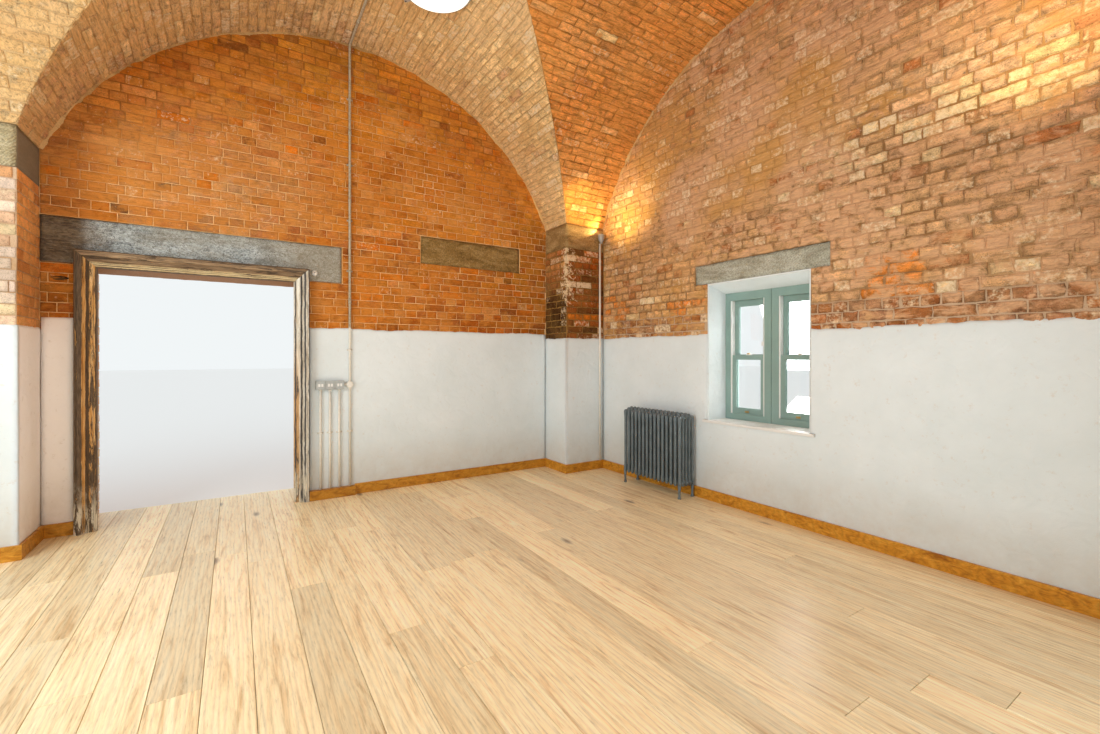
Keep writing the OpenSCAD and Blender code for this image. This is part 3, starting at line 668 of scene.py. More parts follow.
def lay_brick(pile, place, outline, proud, tint, rng, look):
    """One brick: a block on its bed with worn arrises, a slightly tilted face and some relief. Its tint is
    painted with shade towards its edges and with a highlight towards its top and middle.
    """
    rim = split_edges(outline, look["step"]) if look["step"] else outline
    wobble = look["wobble"]
    n = len(rim)
    mid_u = sum(u for u, v in rim) / n
    mid_v = sum(v for u, v in rim) / n
    half_u = max(LEAST_HALF, max(abs(u - mid_u) for u, v in rim))
    half_v = max(LEAST_HALF, max(abs(v - mid_v) for u, v in rim))
    worn = rng.uniform(*WORN)
    tilt_u = rng.gauss(0, TILT_U)
    tilt_v = rng.gauss(0, TILT_V)
    rings = [[], [], []]
    inner = []
    for u, v in rim:
        u += rng.gauss(0, wobble)
        v += rng.gauss(0, wobble)
        lift = proud + (u - mid_u) * tilt_u + (v - mid_v) * tilt_v
        rings[0].append(place(u, v, BED))
        rings[1].append(place(u, v, max(ARRIS_LEAST, lift - worn * 0.8)))
        fu = mid_u + (u - mid_u) * (1 - min(0.5, worn / half_u))
        fv = mid_v + (v - mid_v) * (1 - min(0.5, worn / half_v))
        rings[2].append(place(fu, fv, max(FACE_LEAST, lift + rng.gauss(0, wobble * 0.3))))
        if look["relief"]:
            iu = mid_u + (u - mid_u) * (1 - min(0.6, FIELD_U / half_u))
            iv = mid_v + (v - mid_v) * (1 - min(0.6, FIELD_V / half_v))
            inner.append(place(iu, iv, max(FACE_LEAST, lift + rng.gauss(0.0004, look["relief"]))))
    if inner:
        rings.append(inner)
    faces = strips(len(rings), n, closed=True)
    faces.append(tuple(range((len(rings) - 1) * n, len(rings) * n)))
    edge = look["edge"]
    # Painted shade on the brick's edges and a painted highlight on its top and middle
    tints = [edge_shaded_tint(tint, 1 - edge * depth + rng.gauss(0, edge * 0.3) + edge * rise * (v - mid_v) / half_v)
             for depth, rise in EDGE_SHADES[:len(rings)] for u, v in rim] if edge else tint
    pile.add([point for ring in rings for point in ring], faces, tints, rng.random())


def edge_shaded_tint(tint, k):
    return tuple(c * max(0.2, k) for c in tint[:3]) + (tint[3],)


# Painted shade and highlight for each ring of a brick, from its bed to its face: how much darker it is
# painted, and how much lighter it is painted upwards. A look's edge sets how strong they are
EDGE_SHADES = ((1.5, 0.0), (1.3, 0.2), (0.7, 0.5), (-0.12, 0.35))
NEAR = {"step": 0.045, "wobble": 0.0009, "relief": 0.0005, "joint": 0.0064, "edge": 0.10}
ROUGH = {"step": 0.034, "wobble": 0.0028, "relief": 0.0020, "joint": 0.0108, "edge": 0.25}
SOFFIT = {"step": 0.050, "wobble": 0.0022, "relief": 0.0014, "joint": 0.0074, "edge": 0.16}
FAR = {"step": None, "wobble": 0.0010, "relief": 0.0, "joint": 0.0100, "edge": 0.0}


def courses(low, high, gauge):
    count = max(1, round((high - low) / gauge))
    step = (high - low) / count
    return [(low + i * step, low + (i + 1) * step) for i in range(count)]


def bond_row(index, u0, u1, rng, bond):
    """Brick ends along a course from u0 to u1."""
    headers = bond == "english" and index % 2 == 1 or bond == "garden" and index % 4 == 0
    length = HEADER if headers else STRETCHER
    start = (index % 2) * length / 2 + (rng.uniform(-0.03, 0.03) if bond != "soldier" else 0)
    at = math.floor((u0 - start) / length) * length + start
    ends = []
    while at < u1:
        if length == STRETCHER and bond != "soldier" and rng.random() < HALVED:
            ends += [(at, at + HEADER), (at + HEADER, at + STRETCHER)]
        else:
            ends.append((at, at + length))
        at += length
    return ends


def lay(pile, place, rows, spans, cuts, tint, seed, bond="garden", proud=0.0045, look=NEAR, first=0):
    """Lays courses. spans gives a course's stretches, cuts the lines that trim a brick, tint its colour."""
    rng = random.Random(seed)
    for index, (v0, v1) in enumerate(rows, first):
        for u0, u1 in spans(v0, v1):
            for a, b in bond_row(index, u0, u1, rng, bond):
                a, b = max(a, u0), min(b, u1)
                if b - a < SHORTEST:
                    continue
                gap = look["joint"] / 2 * rng.uniform(0.8, 1.15)
                outline = [(a + gap, v0 + gap), (b - gap, v0 + gap), (b - gap, v1 - gap), (a + gap, v1 - gap)]
                for line in cuts((a + b) / 2, (v0 + v1) / 2):
                    outline = clip(outline, line)
                    if len(outline) < 3:
                        break
                if len(outline) < 3 or area(outline) < SMALLEST:
                    continue
                colour = tint((a + b) / 2, (v0 + v1) / 2, rng)
                lay_brick(pile, place, outline, proud * rng.uniform(0.6, 1.4), colour, rng, look)


def no_cuts(u, v):
    return []


def minus(stretches, low, high):
    """Stretches with the part from low to high taken out."""
    kept = []
    for a, b in stretches:
        if high <= a or low >= b:
            kept.append((a, b))
            continue
        if low > a:
            kept.append((a, low))
        if high < b:
            kept.append((high, b))
    return kept


def toned(colour, rng, spread, level=1.0):
    k = level * (1 + rng.gauss(0, spread))
    return tuple(max(0.004, min(1.0, c * k * (1 + rng.gauss(0, spread * 0.15)))) for c in colour)


def blotch(*place):
    return noise.noise(Vector(place))


# Brick colours, as linear light
DEEP = (0.41, 0.092, 0.007)
ORANGE = (0.52, 0.150, 0.009)
GOLD = (0.64, 0.235, 0.022)
BRIGHT = (0.66, 0.150, 0.008)
PEACH = (0.74, 0.335, 0.110)
FADED = (0.60, 0.335, 0.165)
BROWN = (0.24, 0.062, 0.012)
BURNT = (0.075, 0.030, 0.008)
RUST = (0.40, 0.110, 0.022)
ROSE = (0.62, 0.270, 0.100)
DUSTY = (0.60, 0.325, 0.115)
TAN = (0.76, 0.430, 0.150)
BUFF = (0.80, 0.520, 0.210)
CREAM = (0.86, 0.660, 0.360)
MAUVE = (0.50, 0.250, 0.130)
PALE = (0.84, 0.650, 0.510)
SALMON = (0.70, 0.420, 0.200)
ASHEN = (0.54, 0.335, 0.165)
BISCUIT = (0.72, 0.470, 0.230)
STRAW = (0.88, 0.620, 0.300)


def unit(t):
    return min(1.0, max(0.0, t))


def blend(a, b, t):
    t = unit(t)
    return tuple(p + (q - p) * t for p, q in zip(a, b))


def spot(u, v, at_u, at_v, wide, high):
    """A soft patch about a place, 1 at its middle."""
    return math.exp(-((u - at_u) / wide) ** 2 - ((v - at_v) / high) ** 2)


def limed(base, rng, spread, level, power, most):
    """A brick's tint, with an alpha that is mostly small: the old lime that it keeps."""
    return (*toned(base, rng, spread, level), rng.random() ** power * most)


def north_tint(u, v, rng):
    low = v < DOOR_LINTEL[1].z + 0.15
    t = 0.50 + 0.95 * blotch(u * 0.5, v * 0.6, 1.0) + 0.35 * blotch(u * 2.2, v * 2.2, 4.0)
    t += rng.gauss(0, 0.17)
    base = blend(DEEP if low else blend(DEEP, ORANGE, 0.5), GOLD, t - 0.25 * low)
    west = 0.66 * spot(u, v, -1.25, 2.90, 0.90, 0.55)
    base = blend(base, FADED, west + rng.gauss(0, 0.06))
    edge = 0.8 * spot(u, v, -2.2, 2.9, 0.30, 0.60)
    base = blend(base, blend(RUST, ROSE, 0.3), edge + rng.gauss(0, 0.10))
    odd = rng.random()
    if odd < 0.028:
        base = blend(base, BROWN, rng.uniform(0.3, 0.8))
    elif odd > 0.90:
        base = blend(base, RUST, rng.uniform(0.4, 0.9))
    elif odd < 0.036:
        base = blend(base, BURNT, rng.uniform(0.3, 0.7))
    elif odd < 0.055 + 0.14 * low:
        base = blend(BRIGHT, ORANGE, 0.4)
    elif odd < 0.10 + 0.16 * low:
        base = blend(base, PEACH, 0.5)
    # The last factor darkens the bricks towards the north-east corner: painted shade of the corner by the
    # pier
    level = (0.90 if low else 1.07) * (1 - 0.22 * west) * (1 - 0.26 * math.exp(-((u - 2.1) / 0.45) ** 2))
    return limed(base, rng, 0.08, level, 9, 0.25)


# Patches of newer bricks in the east wall: from and to along the wall, then from and to in height
NEW_WORK = ((1.74, HALF, 1.83, 2.16), (0.68, 1.16, 1.83, 2.01), (-1.05, -0.70, 1.82, 2.14))


def east_tint(u, v, rng):
    if any(u0 < u < u1 and v0 < v < v1 for u0, u1, v0, v1 in NEW_WORK) and rng.random() < 0.85:
        fresh = blend(blend(BRIGHT, GOLD, 0.35), ROSE, rng.uniform(0.1, 0.45))
        return limed(fresh, rng, 0.06, 1.12, 6, 0.3)
    if v < DADO_Z + 0.20 + 0.05 * blotch(u * 3.0, 2.0, 1.0):
        return limed(blend(RUST, MAUVE, 0.45 + rng.gauss(0, 0.30)), rng, 0.10, 0.86, 3, 0.6)
    north = unit((u + 0.6) * 0.42)
    base = blend(SALMON, blend(ORANGE, GOLD, 0.75), north * 0.45 + 0.12 * (v - 2.9))
    base = blend(base, blend(ASHEN, ROSE, 0.35), 0.30 + 0.9 * blotch(u * 0.8, v * 0.9, 7.0)
                 + rng.gauss(0, 0.15))
    base = blend(base, MAUVE, (0.30 - 0.35 * north) + 0.5 * blotch(u * 1.3, v * 1.1, 12.0))
    base = blend(base, PALE, 0.50 * spot(u, v, -1.6, 3.15, 0.6, 0.30))
    band = (0.95 * math.exp(-((v - 3.09 - 0.04 * u) / 0.13) ** 2) * unit(1.0 - (u - 0.1) * 1.4)
            + 0.65 * spot(u, v, -1.0, 2.80, 0.6, 0.15) + 0.55 * max(0.0, blotch(u * 0.8, v * 1.4, 3.0)))
    odd = rng.random()
    lime = rng.random() ** 3 * 0.45
    if odd < 0.025 + 0.62 * band:
        base = blend(base, CREAM, rng.uniform(0.35, 0.95))
        lime = rng.uniform(0.1, 0.6)
    elif odd > 0.93:
        base = blend(base, RUST, rng.uniform(0.4, 0.9))
    elif odd > 0.90:
        base = blend(base, BROWN, rng.uniform(0.3, 0.6))
    return (*toned(base, rng, 0.085, 0.98 + 0.30 * spot(u, v, HALF, 2.10, 0.30, 0.35)), lime)


def soffit_tint(u, v, rng):
    """The north and south webs: mauve at the foot, dusty, then golden by the groin."""
    groin = unit(v * 0.45 + 0.40)
    foot = unit((-v - 1.6) * 0.8)
    base = blend(ASHEN, BISCUIT, groin + 0.6 * blotch(u * 1.1, v * 0.9, 2.0) + rng.gauss(0, 0.18))
    base = blend(base, STRAW, groin * 0.62 + 0.3 * blotch(u * 0.8, v * 0.8, 9.0))
    base = blend(base, MAUVE, foot)
    odd = rng.random()
    if odd < 0.05 + 0.08 * foot:
        base = blend(base, CREAM, rng.uniform(0.3, 0.75))
    elif odd > 0.95:
        base = blend(base, MAUVE, rng.uniform(0.4, 0.9))
    return limed(base, rng, 0.05, 1.09, 3, 0.5)


def east_soffit_tint(u, v, rng):
    t = 0.45 + 0.8 * blotch(u * 0.9, v * 0.8, 6.0) + rng.gauss(0, 0.17)
    base = blend(blend(ORANGE, RUST, 0.25), GOLD, t)
    base = blend(base, DUSTY, 0.30 + 0.5 * blotch(u * 1.5, v * 1.5, 8.0))
    odd = rng.random()
    if odd < 0.025:
        base = blend(base, CREAM, 0.55)
    elif odd > 0.97:
        base = blend(base, BROWN, 0.4)
    return limed(blend(base, ROSE, 0.20), rng, 0.06, 1.36, 6, 0.35)


def west_soffit_tint(u, v, rng):
    base = blend(BUFF, TAN, 0.25 + 0.6 * blotch(u * 1.3, v * 1.3, 6.0) + rng.gauss(0, 0.22))
    base = blend(base, PALE, 0.28)
    odd = rng.random()
    if odd > 0.93:
        base = blend(base, ROSE, 0.8)
    elif odd > 0.85:
        base = blend(base, CREAM, 0.7)
    return limed(base, rng, 0.05, 0.61, 3, 0.35)


def sooty_tint(u, v, rng):
    """The eastern piers' faces: bands of limed headers in dark brickwork."""
    if DADO_Z + 0.22 < v < DADO_Z + 0.30:
        return (*toned(blend(BRIGHT, GOLD, 0.3), rng, 0.06, 0.9), 0.0)
    banded_course = any(abs(v - z) < 0.05 for z in (IMPOST_Z - 0.08, IMPOST_Z - 0.42))
    if rng.random() < (0.6 if banded_course and HALF + 0.06 < u < HALF + 0.40 else 0.06):
        return (*toned(RUST, rng, 0.1), rng.uniform(0.35, 0.75))
    base = blend(DEEP, BROWN, rng.random())
    base = blend(base, BURNT, 0.22 + rng.gauss(0, 0.28))
    return limed(base, rng, 0.12, 1.0, 4, 0.4)


def black_tint(u, v, rng):
    """The north-east pier's west return, black with soot below."""
    soot = unit((IMPOST_Z - 0.28 - v) * 3.0) * 0.9
    base = blend(blend(RUST, DUSTY, 0.4 + rng.gauss(0, 0.2)), BURNT, soot)
    return limed(base, rng, 0.12, 1.0 - 0.45 * soot, 6, 0.4)


def west_return_tint(u, v, rng):
    base = blend(DEEP, PEACH, 0.50 + 0.6 * blotch(u * 3.0, v * 1.2, 2.0) + rng.gauss(0, 0.15))
    return limed(blend(base, DUSTY, 0.35), rng, 0.06, 1.36, 5, 0.4)


def west_face_tint(u, v, rng):
    base = blend(PALE, PEACH, 0.06 + 0.7 * blotch(u * 3.0, v * 1.2, 2.0) + rng.gauss(0, 0.25))
    if rng.random() < 0.15:
        base = blend(base, CREAM, 0.7)
    return limed(base, rng, 0.05, 0.86, 2, 0.45)


def outer_tint(u, v, rng):
    base = blend(DEEP, GOLD, 0.35 + 0.7 * blotch(u * 0.6, v * 0.6, 5.0) + rng.gauss(0, 0.22))
    if rng.random() < 0.10:
        base = blend(base, BROWN, rng.uniform(0.4, 1.0))
    return limed(base, rng, 0.08, 1.0, 6, 0.3)


def top_tint(u, v, rng):
    return limed(blend(DUSTY, RUST, 0.3 + rng.gauss(0, 0.3)), rng, 0.10, 1.0, 2, 0.6)


def arch_half(z):
    """Half the width under the vault's soffit at the height z."""
    if z <= SPRING_Z:
        return HALF
    return math.sqrt(max(0.0, RADIUS ** 2 - (z - CENTRE_Z) ** 2))


def round_cut(u, v, radius, side):
    """A line square to the vault's radius that keeps what is inside it, or outside it where side is -1."""
    away = math.hypot(u, v - CENTRE_Z)
    nu, nv = side * u / away, side * (v - CENTRE_Z) / away
    return [(nu, nv, side * radius + nv * CENTRE_Z)]


def arch_cut(u, v):
    """Trims a brick of a wall's arched part along the soffit."""
    return [] if v < SPRING_Z - 0.05 else round_cut(u, v, RADIUS - 0.004, 1)


def wall_spans(holes):
    """Stretches of a wall's course under the arch, without the given (low, high, z0, z1) holes."""
    def spans(v0, v1):
        mid = (v0 + v1) / 2
        w = arch_half(v0) - 0.002
        stretches = [(-w, w)]
        for low, high, z0, z1 in holes:
            if z0 < mid < z1:
                stretches = minus(stretches, low, high)
        return stretches
    return spans


def banded(*marks):
    """Courses between marks, given as heights and gauges in turn."""
    rows = []
    for k in range(0, len(marks) - 2, 2):
        rows += courses(marks[k], marks[k + 2], marks[k + 1])
    return rows


def mirrored(spans):
    return lambda v0, v1: [(-b, -a) for a, b in reversed(spans(v0, v1))]


def painted_hollow(pile, x, z, wide, high):
    """A flat dark patch beside the doorway, with a ragged edge: painted shade that stands for a hollow in the
    wall.
    """
    count = 22
    ring = []
    for y in (NORTH_Y - 0.0020, NORTH_Y - 0.0062):
        for a in turns(count):
            far = 1 + 0.30 * blotch(math.cos(a) * 2, math.sin(a) * 2, 6.0)
            ring.append((x + wide * far * math.cos(a), y, z + high * far * math.sin(a)))
    pile.add(ring, strips(2, count, closed=True) + [tuple(range(count, 2 * count))], (*HOLLOW_SHADE, 0.0))


def north_wall(mortar, brick):
    dressed(mortar, "north_wall_west_side", "north_wall_east_side", "north_wall_arch")
    lintel_z0, lintel_z1 = DOOR_LINTEL[0].z, DOOR_LINTEL[1].z
    stones = [(lo.x - 0.004, hi.x + 0.004, lo.z, hi.z) for lo, hi in (DOOR_LINTEL, BLIND_LINTEL)]
    inner = Pile()
    rows = banded(NORTH_DADO_Z - 0.11, NORTH_GAUGE, lintel_z0, NORTH_GAUGE, lintel_z1, NORTH_GAUGE, CROWN_Z)

    lay(inner, lambda u, v, d: (u, NORTH_Y - d, v), rows,
        wall_spans(stones + [(DOOR_X0 + 0.02, DOOR_X1 - 0.02, 0.0, lintel_z0)]), arch_cut, north_tint, 11,
        bond="english", proud=0.0026)
    # Painted shade for a small hollow beside the doorway
    painted_hollow(inner, -2.138, 2.005, 0.050, 0.016)
    # The reveals behind the door's lining
    reveal = courses(0.0, lintel_z0, NORTH_GAUGE)
    for x, side in ((DOOR_X0, 1), (DOOR_X1, -1)):
        lay(inner, lambda u, v, d, x=x, side=side: (x + side * d, u, v), reveal,
            lambda a, b: [(LINING_Y, OUTER)], no_cuts, west_face_tint, 13 + side, look=FAR)
    inner.piece("north_wall_bricks", brick, "brick", smooth=True)
    outer = Pile()
    rows = banded(0.0, NORTH_GAUGE, lintel_z0, NORTH_GAUGE, lintel_z1, NORTH_GAUGE, CROWN_Z)
    lay(outer, lambda u, v, d: (-u, OUTER + d, v), rows,
        mirrored(wall_spans(stones + [(DOOR_X0, DOOR_X1, 0.0, lintel_z0)])), arch_cut, outer_tint, 12,
        look=FAR)
    outer.piece("north_wall_outer_bricks", brick, "brick")


def east_wall(mortar, brick, outer_brick):
    dressed(mortar, "east_wall_north_side", "east_wall_south_side", "east_wall_below_window",
            "east_wall_arch")
    lo, hi = WINDOW_LINTEL
    holes = [(WINDOW_Y0, WINDOW_Y1, WINDOW_SILL_Z, lo.z), (lo.y - 0.003, hi.y + 0.003, lo.z, hi.z)]
    below = math.ceil((hi.z - DADO_Z) / EAST_GAUGE)
    rows = [(hi.z + k * EAST_GAUGE, hi.z + (k + 1) * EAST_GAUGE)
            for k in range(-below, math.ceil((CROWN_Z - hi.z) / EAST_GAUGE))]
    # The course that runs past the lintel's lower edge is trimmed to it
    ends = [(y - 0.003, y + 0.003, lo.z - EAST_GAUGE, lo.z) for y in (lo.y, hi.y)]

    def cuts(u, v):
        under = lo.y < u < hi.y and v < lo.z
        return arch_cut(u, v) + ([(0.0, 1.0, lo.z - 0.003)] if under else [])

    def place(u, v, d):
        sway = 0.004 * blotch(u * 1.1, v * 2.0, 1.5) + 0.002 * blotch(u * 4.0, v * 3.0, 2.5)
        return (EAST_X - d, u, v + sway)

    inner = Pile()
    lay(inner, place, rows, wall_spans(holes + ends), cuts, east_tint, 21, bond="english", proud=0.0050,
        look=ROUGH, first=-below)
    inner.piece("east_wall_bricks", brick, "brick", smooth=True)
    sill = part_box("window_sill")
    rows = banded(0.0, NORTH_GAUGE, WINDOW_SILL_Z, NORTH_GAUGE, lo.z, NORTH_GAUGE, hi.z, NORTH_GAUGE, CROWN_Z)
    outer = Pile()
    lay(outer, lambda u, v, d: (OUTER + d, u, v), rows,
        wall_spans(holes + [(WINDOW_Y0, WINDOW_Y1, sill[0].z, sill[1].z)]), arch_cut, outer_tint, 22,
        look=FAR)
    outer.piece("east_wall_outer_bricks", outer_brick, "brick")


def turned(turn, x, y, z):
    """A point of the north web, turned by quarter turns to another web."""
    for _ in range(turn):
        x, y = y, -x
    return (x, y, z)


def groin_cut(radius, gap):
    """Trims a web's brick along the groins, where the distance across equals the distance along."""
    def cuts(u, v):
        angle = v / radius
        slope = math.cos(angle) * (1 if v > 0 else -1)
        x = radius * math.sin(abs(angle))
        return [(-1.0, slope, -(x + gap) + slope * v)]
    return cuts


def web(name, turn, mortar, brick, outer_brick, tint, seed, inner_end, proud):
    """One web of the vault: its soffit, its back and the ring of bricks at its outer face."""
    dressed(mortar, name)

    def barrel(radius, outwards):
        def place(u, v, d):
            r = radius + outwards * d
            v += 0.009 * blotch(u * 1.3, v * 1.6, turn + 0.5) + 0.004 * blotch(u * 5.0, v * 3.0, turn + 4.5)
            return turned(turn, r * math.sin(v / radius), u, CENTRE_Z + r * math.cos(v / radius))
        return place

    def webs_spans(radius, end, least_z):
        def spans(v0, v1):
            near = min(abs(v0), abs(v1))
            if CENTRE_Z + radius * math.cos(near / radius) < least_z:
                return []
            return [(radius * math.sin(near / radius), end)]
        return spans

    sweep = RADIUS * math.asin(HALF / RADIUS)
    pile = Pile()
    gauge = WEB_GAUGES[turn % 2]
    rows = courses(-sweep, 0.0, gauge) + courses(0.0, sweep, gauge)
    lay(pile, barrel(RADIUS, -1), rows, webs_spans(RADIUS, inner_end, 0.0), groin_cut(RADIUS, 0.003), tint,
        seed, bond="stretcher", proud=proud, look=SOFFIT)
    pile.piece(name + "_soffit_bricks", brick, "vault_brick", smooth=True)

    back = Pile()
    back_sweep = BACK_RADIUS * math.acos((SPRING_Z - CENTRE_Z) / BACK_RADIUS)
    rows = courses(-back_sweep, 0.0, NORTH_GAUGE) + courses(0.0, back_sweep, NORTH_GAUGE)
    lay(back, barrel(BACK_RADIUS, 1), rows, webs_spans(BACK_RADIUS, OUTER, HAUNCH_Z + 0.02),
        groin_cut(BACK_RADIUS, 0.006), top_tint, seed + 1, bond="stretcher", look=FAR)

    # The ring of bricks on end at the outer face
    mid_radius = RADIUS + SHELL / 2
    ring_sweep = mid_radius * math.acos((SPRING_Z - CENTRE_Z) / mid_radius)

    def ring_place(u, v, d):
        angle = v / mid_radius
        r = RADIUS + u
        return turned(turn, r * math.sin(angle), OUTER + d, CENTRE_Z + r * math.cos(angle))

    lay(back, ring_place, courses(-ring_sweep, ring_sweep, RING_GAUGE), lambda a, b: [(0.0, SHELL)], no_cuts,
        outer_tint, seed + 2, bond="soldier", look=FAR)
    back.piece(name + "_back_bricks", outer_brick, "vault_brick")


def pier(name, sx, sy, mortar, brick, return_tint, face_tint, seed):
    """A corner pier's bricks: inner faces above the plaster, outer faces down to the ground."""
    dressed(mortar, "pier_" + name, "haunch_" + name)
    inner = Pile()
    x_end = EAST_X if sx > 0 else OUTER
    y_end = NORTH_Y if sy > 0 else OUTER
    rows = courses(DADO_Z - 0.09, IMPOST_Z, NORTH_GAUGE)
    look = ROUGH if sx > 0 else NEAR
    lay(inner, lambda u, v, d: (sx * (HALF - d), sy * u, v), rows, lambda a, b: [(HALF, y_end)], no_cuts,
        return_tint, seed, look=look)
    lay(inner, lambda u, v, d: (sx * u, sy * (HALF - d), v), rows, lambda a, b: [(HALF, x_end)], no_cuts,
        face_tint, seed + 1, look=look)
    inner.piece("pier_" + name + "_bricks", brick, "brick", smooth=True)
    outer = Pile()
    rows = courses(0.0, IMPOST_Z, NORTH_GAUGE)
    high = courses(SPRING_Z, HAUNCH_Z, NORTH_GAUGE)

    def haunch_spans(v0, v1):
        reach = math.sqrt(max(0.0, BACK_RADIUS ** 2 - (v1 - CENTRE_Z) ** 2))
        return [(reach, OUTER)]

    def haunch_cut(u, v):
        return round_cut(u, v, BACK_RADIUS + 0.006, -1)

    for k, place in enumerate((lambda u, v, d: (sx * (OUTER + d), sy * u, v),
                               lambda u, v, d: (sx * u, sy * (OUTER + d), v))):
        lay(outer, place, rows, lambda a, b: [(HALF, OUTER)], no_cuts, outer_tint, seed + 2 + k, look=FAR)
        lay(outer, place, high, haunch_spans, haunch_cut, outer_tint, seed + 4 + k, look=FAR)
    edge = math.sqrt(BACK_RADIUS ** 2 - (HAUNCH_Z - CENTRE_Z) ** 2) + 0.01
    lay(outer, lambda u, v, d: (sx * u, sy * v, HAUNCH_Z + d), courses(edge, OUTER, HEADER),
        lambda a, b: [(edge, OUTER)], no_cuts, top_tint, seed + 6, look=FAR)
    outer.piece("pier_" + name + "_outer_bricks", brick, "brick")


def fillet(name, mortar, turn, end, size, seed):
    """A rough bead of mortar where a wall meets the vault's soffit."""
    sweep = math.asin(HALF / RADIUS)
    count = 150
    points = []
    for k in range(count + 1):
        angle = sweep * (2 * k / count - 1)
        wide = size * (0.75 + 0.9 * blotch(k * 0.31, seed, 0.5))
        deep = size * (0.75 + 0.9 * blotch(k * 0.27, seed, 9.5))
        for r, y in ((RADIUS + 0.002, end - deep), (RADIUS - wide * 0.45, end - deep * 0.45),
                     (RADIUS - wide, end + 0.002)):
            points.append(turned(turn, r * math.sin(angle), y, CENTRE_Z + r * math.cos(angle)))
    pile = Pile()
    pile.add(points, strips(count + 1, 3))
    pile.piece(name, mortar, "brick", smooth=True)


# Plaster, stone and floor
def stations(low, high, step):
    count = max(1, round((high - low) / step))
    return [low + (high - low) * k / count for k in range(count + 1)]


def sheet(name, material, runs, top, replaces, seed, holes=(), marks=(), levels=(), dip=None):
    """Plaster on walls. Each run is a list of plan points and the wall's normals along it."""
    pile = Pile()
    for run in runs:
        columns = []
        for (x0, y0, nx, ny), (x1, y1, mx, my) in zip(run, run[1:]):
            length = math.hypot(x1 - x0, y1 - y0)
            cuts = sorted({*stations(0.0, 1.0, 0.035 / max(length, 0.001)),
                           *[(m - y0) / (y1 - y0) for m in marks if y1 != y0
                             and 0 < (m - y0) / (y1 - y0) < 1]})
            columns += [(x0 + (x1 - x0) * t, y0 + (y1 - y0) * t, nx + (mx - nx) * t, ny + (my - ny) * t)
                        for t in cuts]
        heights = sorted({*stations(FLOOR_Z, top - 0.075, 0.045), *levels, top - 0.02, top})
        grid = {}
        points = []
        for i, (x, y, nx, ny) in enumerate(columns):
            size = math.hypot(nx, ny)
            for j, z in enumerate(heights):
                thick = DADO_T * (0.84 + 0.30 * blotch(x * 2.0 + y, z * 2.0, seed))
                height = z
                if z > top - 0.03:
                    height += (0.016 * blotch((x + y) * 2.5, seed, 4.0)
                               + 0.010 * blotch((x + y) * 14.0, seed, 6.0))
                    height -= dip(x) if dip else 0.0
                    thick *= 0.62 if z == top else 0.92
                grid[i, j] = len(points)
                points.append((x + nx / size * thick, y + ny / size * thick, height))
        faces = []
        for i in range(len(columns) - 1):
            for j in range(len(heights) - 1):
                y = (columns[i][1] + columns[i + 1][1]) / 2
                z = (heights[j] + heights[j + 1]) / 2
                if not any(y0 < y < y1 and z0 < z < z1 for y0, y1, z0, z1 in holes):
                    faces.append((grid[i, j], grid[i + 1, j], grid[i + 1, j + 1], grid[i, j + 1]))
        # The sheet's edges are closed back to the wall
        edges = dict.fromkeys(pair for face in faces for pair in zip(face, face[1:] + face[:1]))
        back = {}
        spots = list(grid)
        for a, b in list(edges):
            if (b, a) in edges:
                continue
            for corner in (a, b):
                if corner not in back:
                    i, j = spots[corner]
                    back[corner] = len(points)
                    points.append((columns[i][0], columns[i][1], points[corner][2]))
            faces.append((b, a, back[a], back[b]))
        pile.add(points, faces)
    pile.piece(name, material, "plaster", replaces, smooth=True)


# How far a stone's faces are worn down
STONE_WEAR = 0.003


def block(name, material, step, seed):
    """A CAD node's block made again in stone, with an uneven surface and worn arrises."""
    lo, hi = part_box(name)
    counts = [max(2, round((hi[k] - lo[k]) / step)) for k in range(3)]
    index = {}
    points = []

    def corner(key):
        if key not in index:
            at = Vector([lo[k] + (hi[k] - lo[k]) * key[k] / counts[k] for k in range(3)])
            inward = Vector([(key[k] == 0) - (key[k] == counts[k]) for k in range(3)])
            sides = sum(abs(v) for v in inward)
            depth = STONE_WEAR * (0.45 + 0.9 * blotch(at.x * 9 + seed, at.y * 9, at.z * 9))
            if sides > 1:
                depth += STONE_WEAR * (0.9 + 0.8 * blotch(at.x * 23, at.y * 23, at.z * 23 + seed))
            index[key] = len(points)
            points.append(at + inward * max(0.0, depth))
        return index[key]

    faces = []
    for k in range(3):
        i, j = (k + 1) % 3, (k + 2) % 3
        for end in (0, counts[k]):
            for a in range(counts[i]):
                for b in range(counts[j]):
                    ring = []
                    for da, db in ((0, 0), (1, 0), (1, 1), (0, 1)):
                        key = [0, 0, 0]
                        key[k], key[i], key[j] = end, a + da, b + db
                        ring.append(corner(tuple(key)))
                    faces.append(tuple(ring if end else reversed(ring)))
    pile = Pile()
    pile.add(points, faces)
    pile.piece(name + "_stone", material, "stone", (name,), smooth=True)


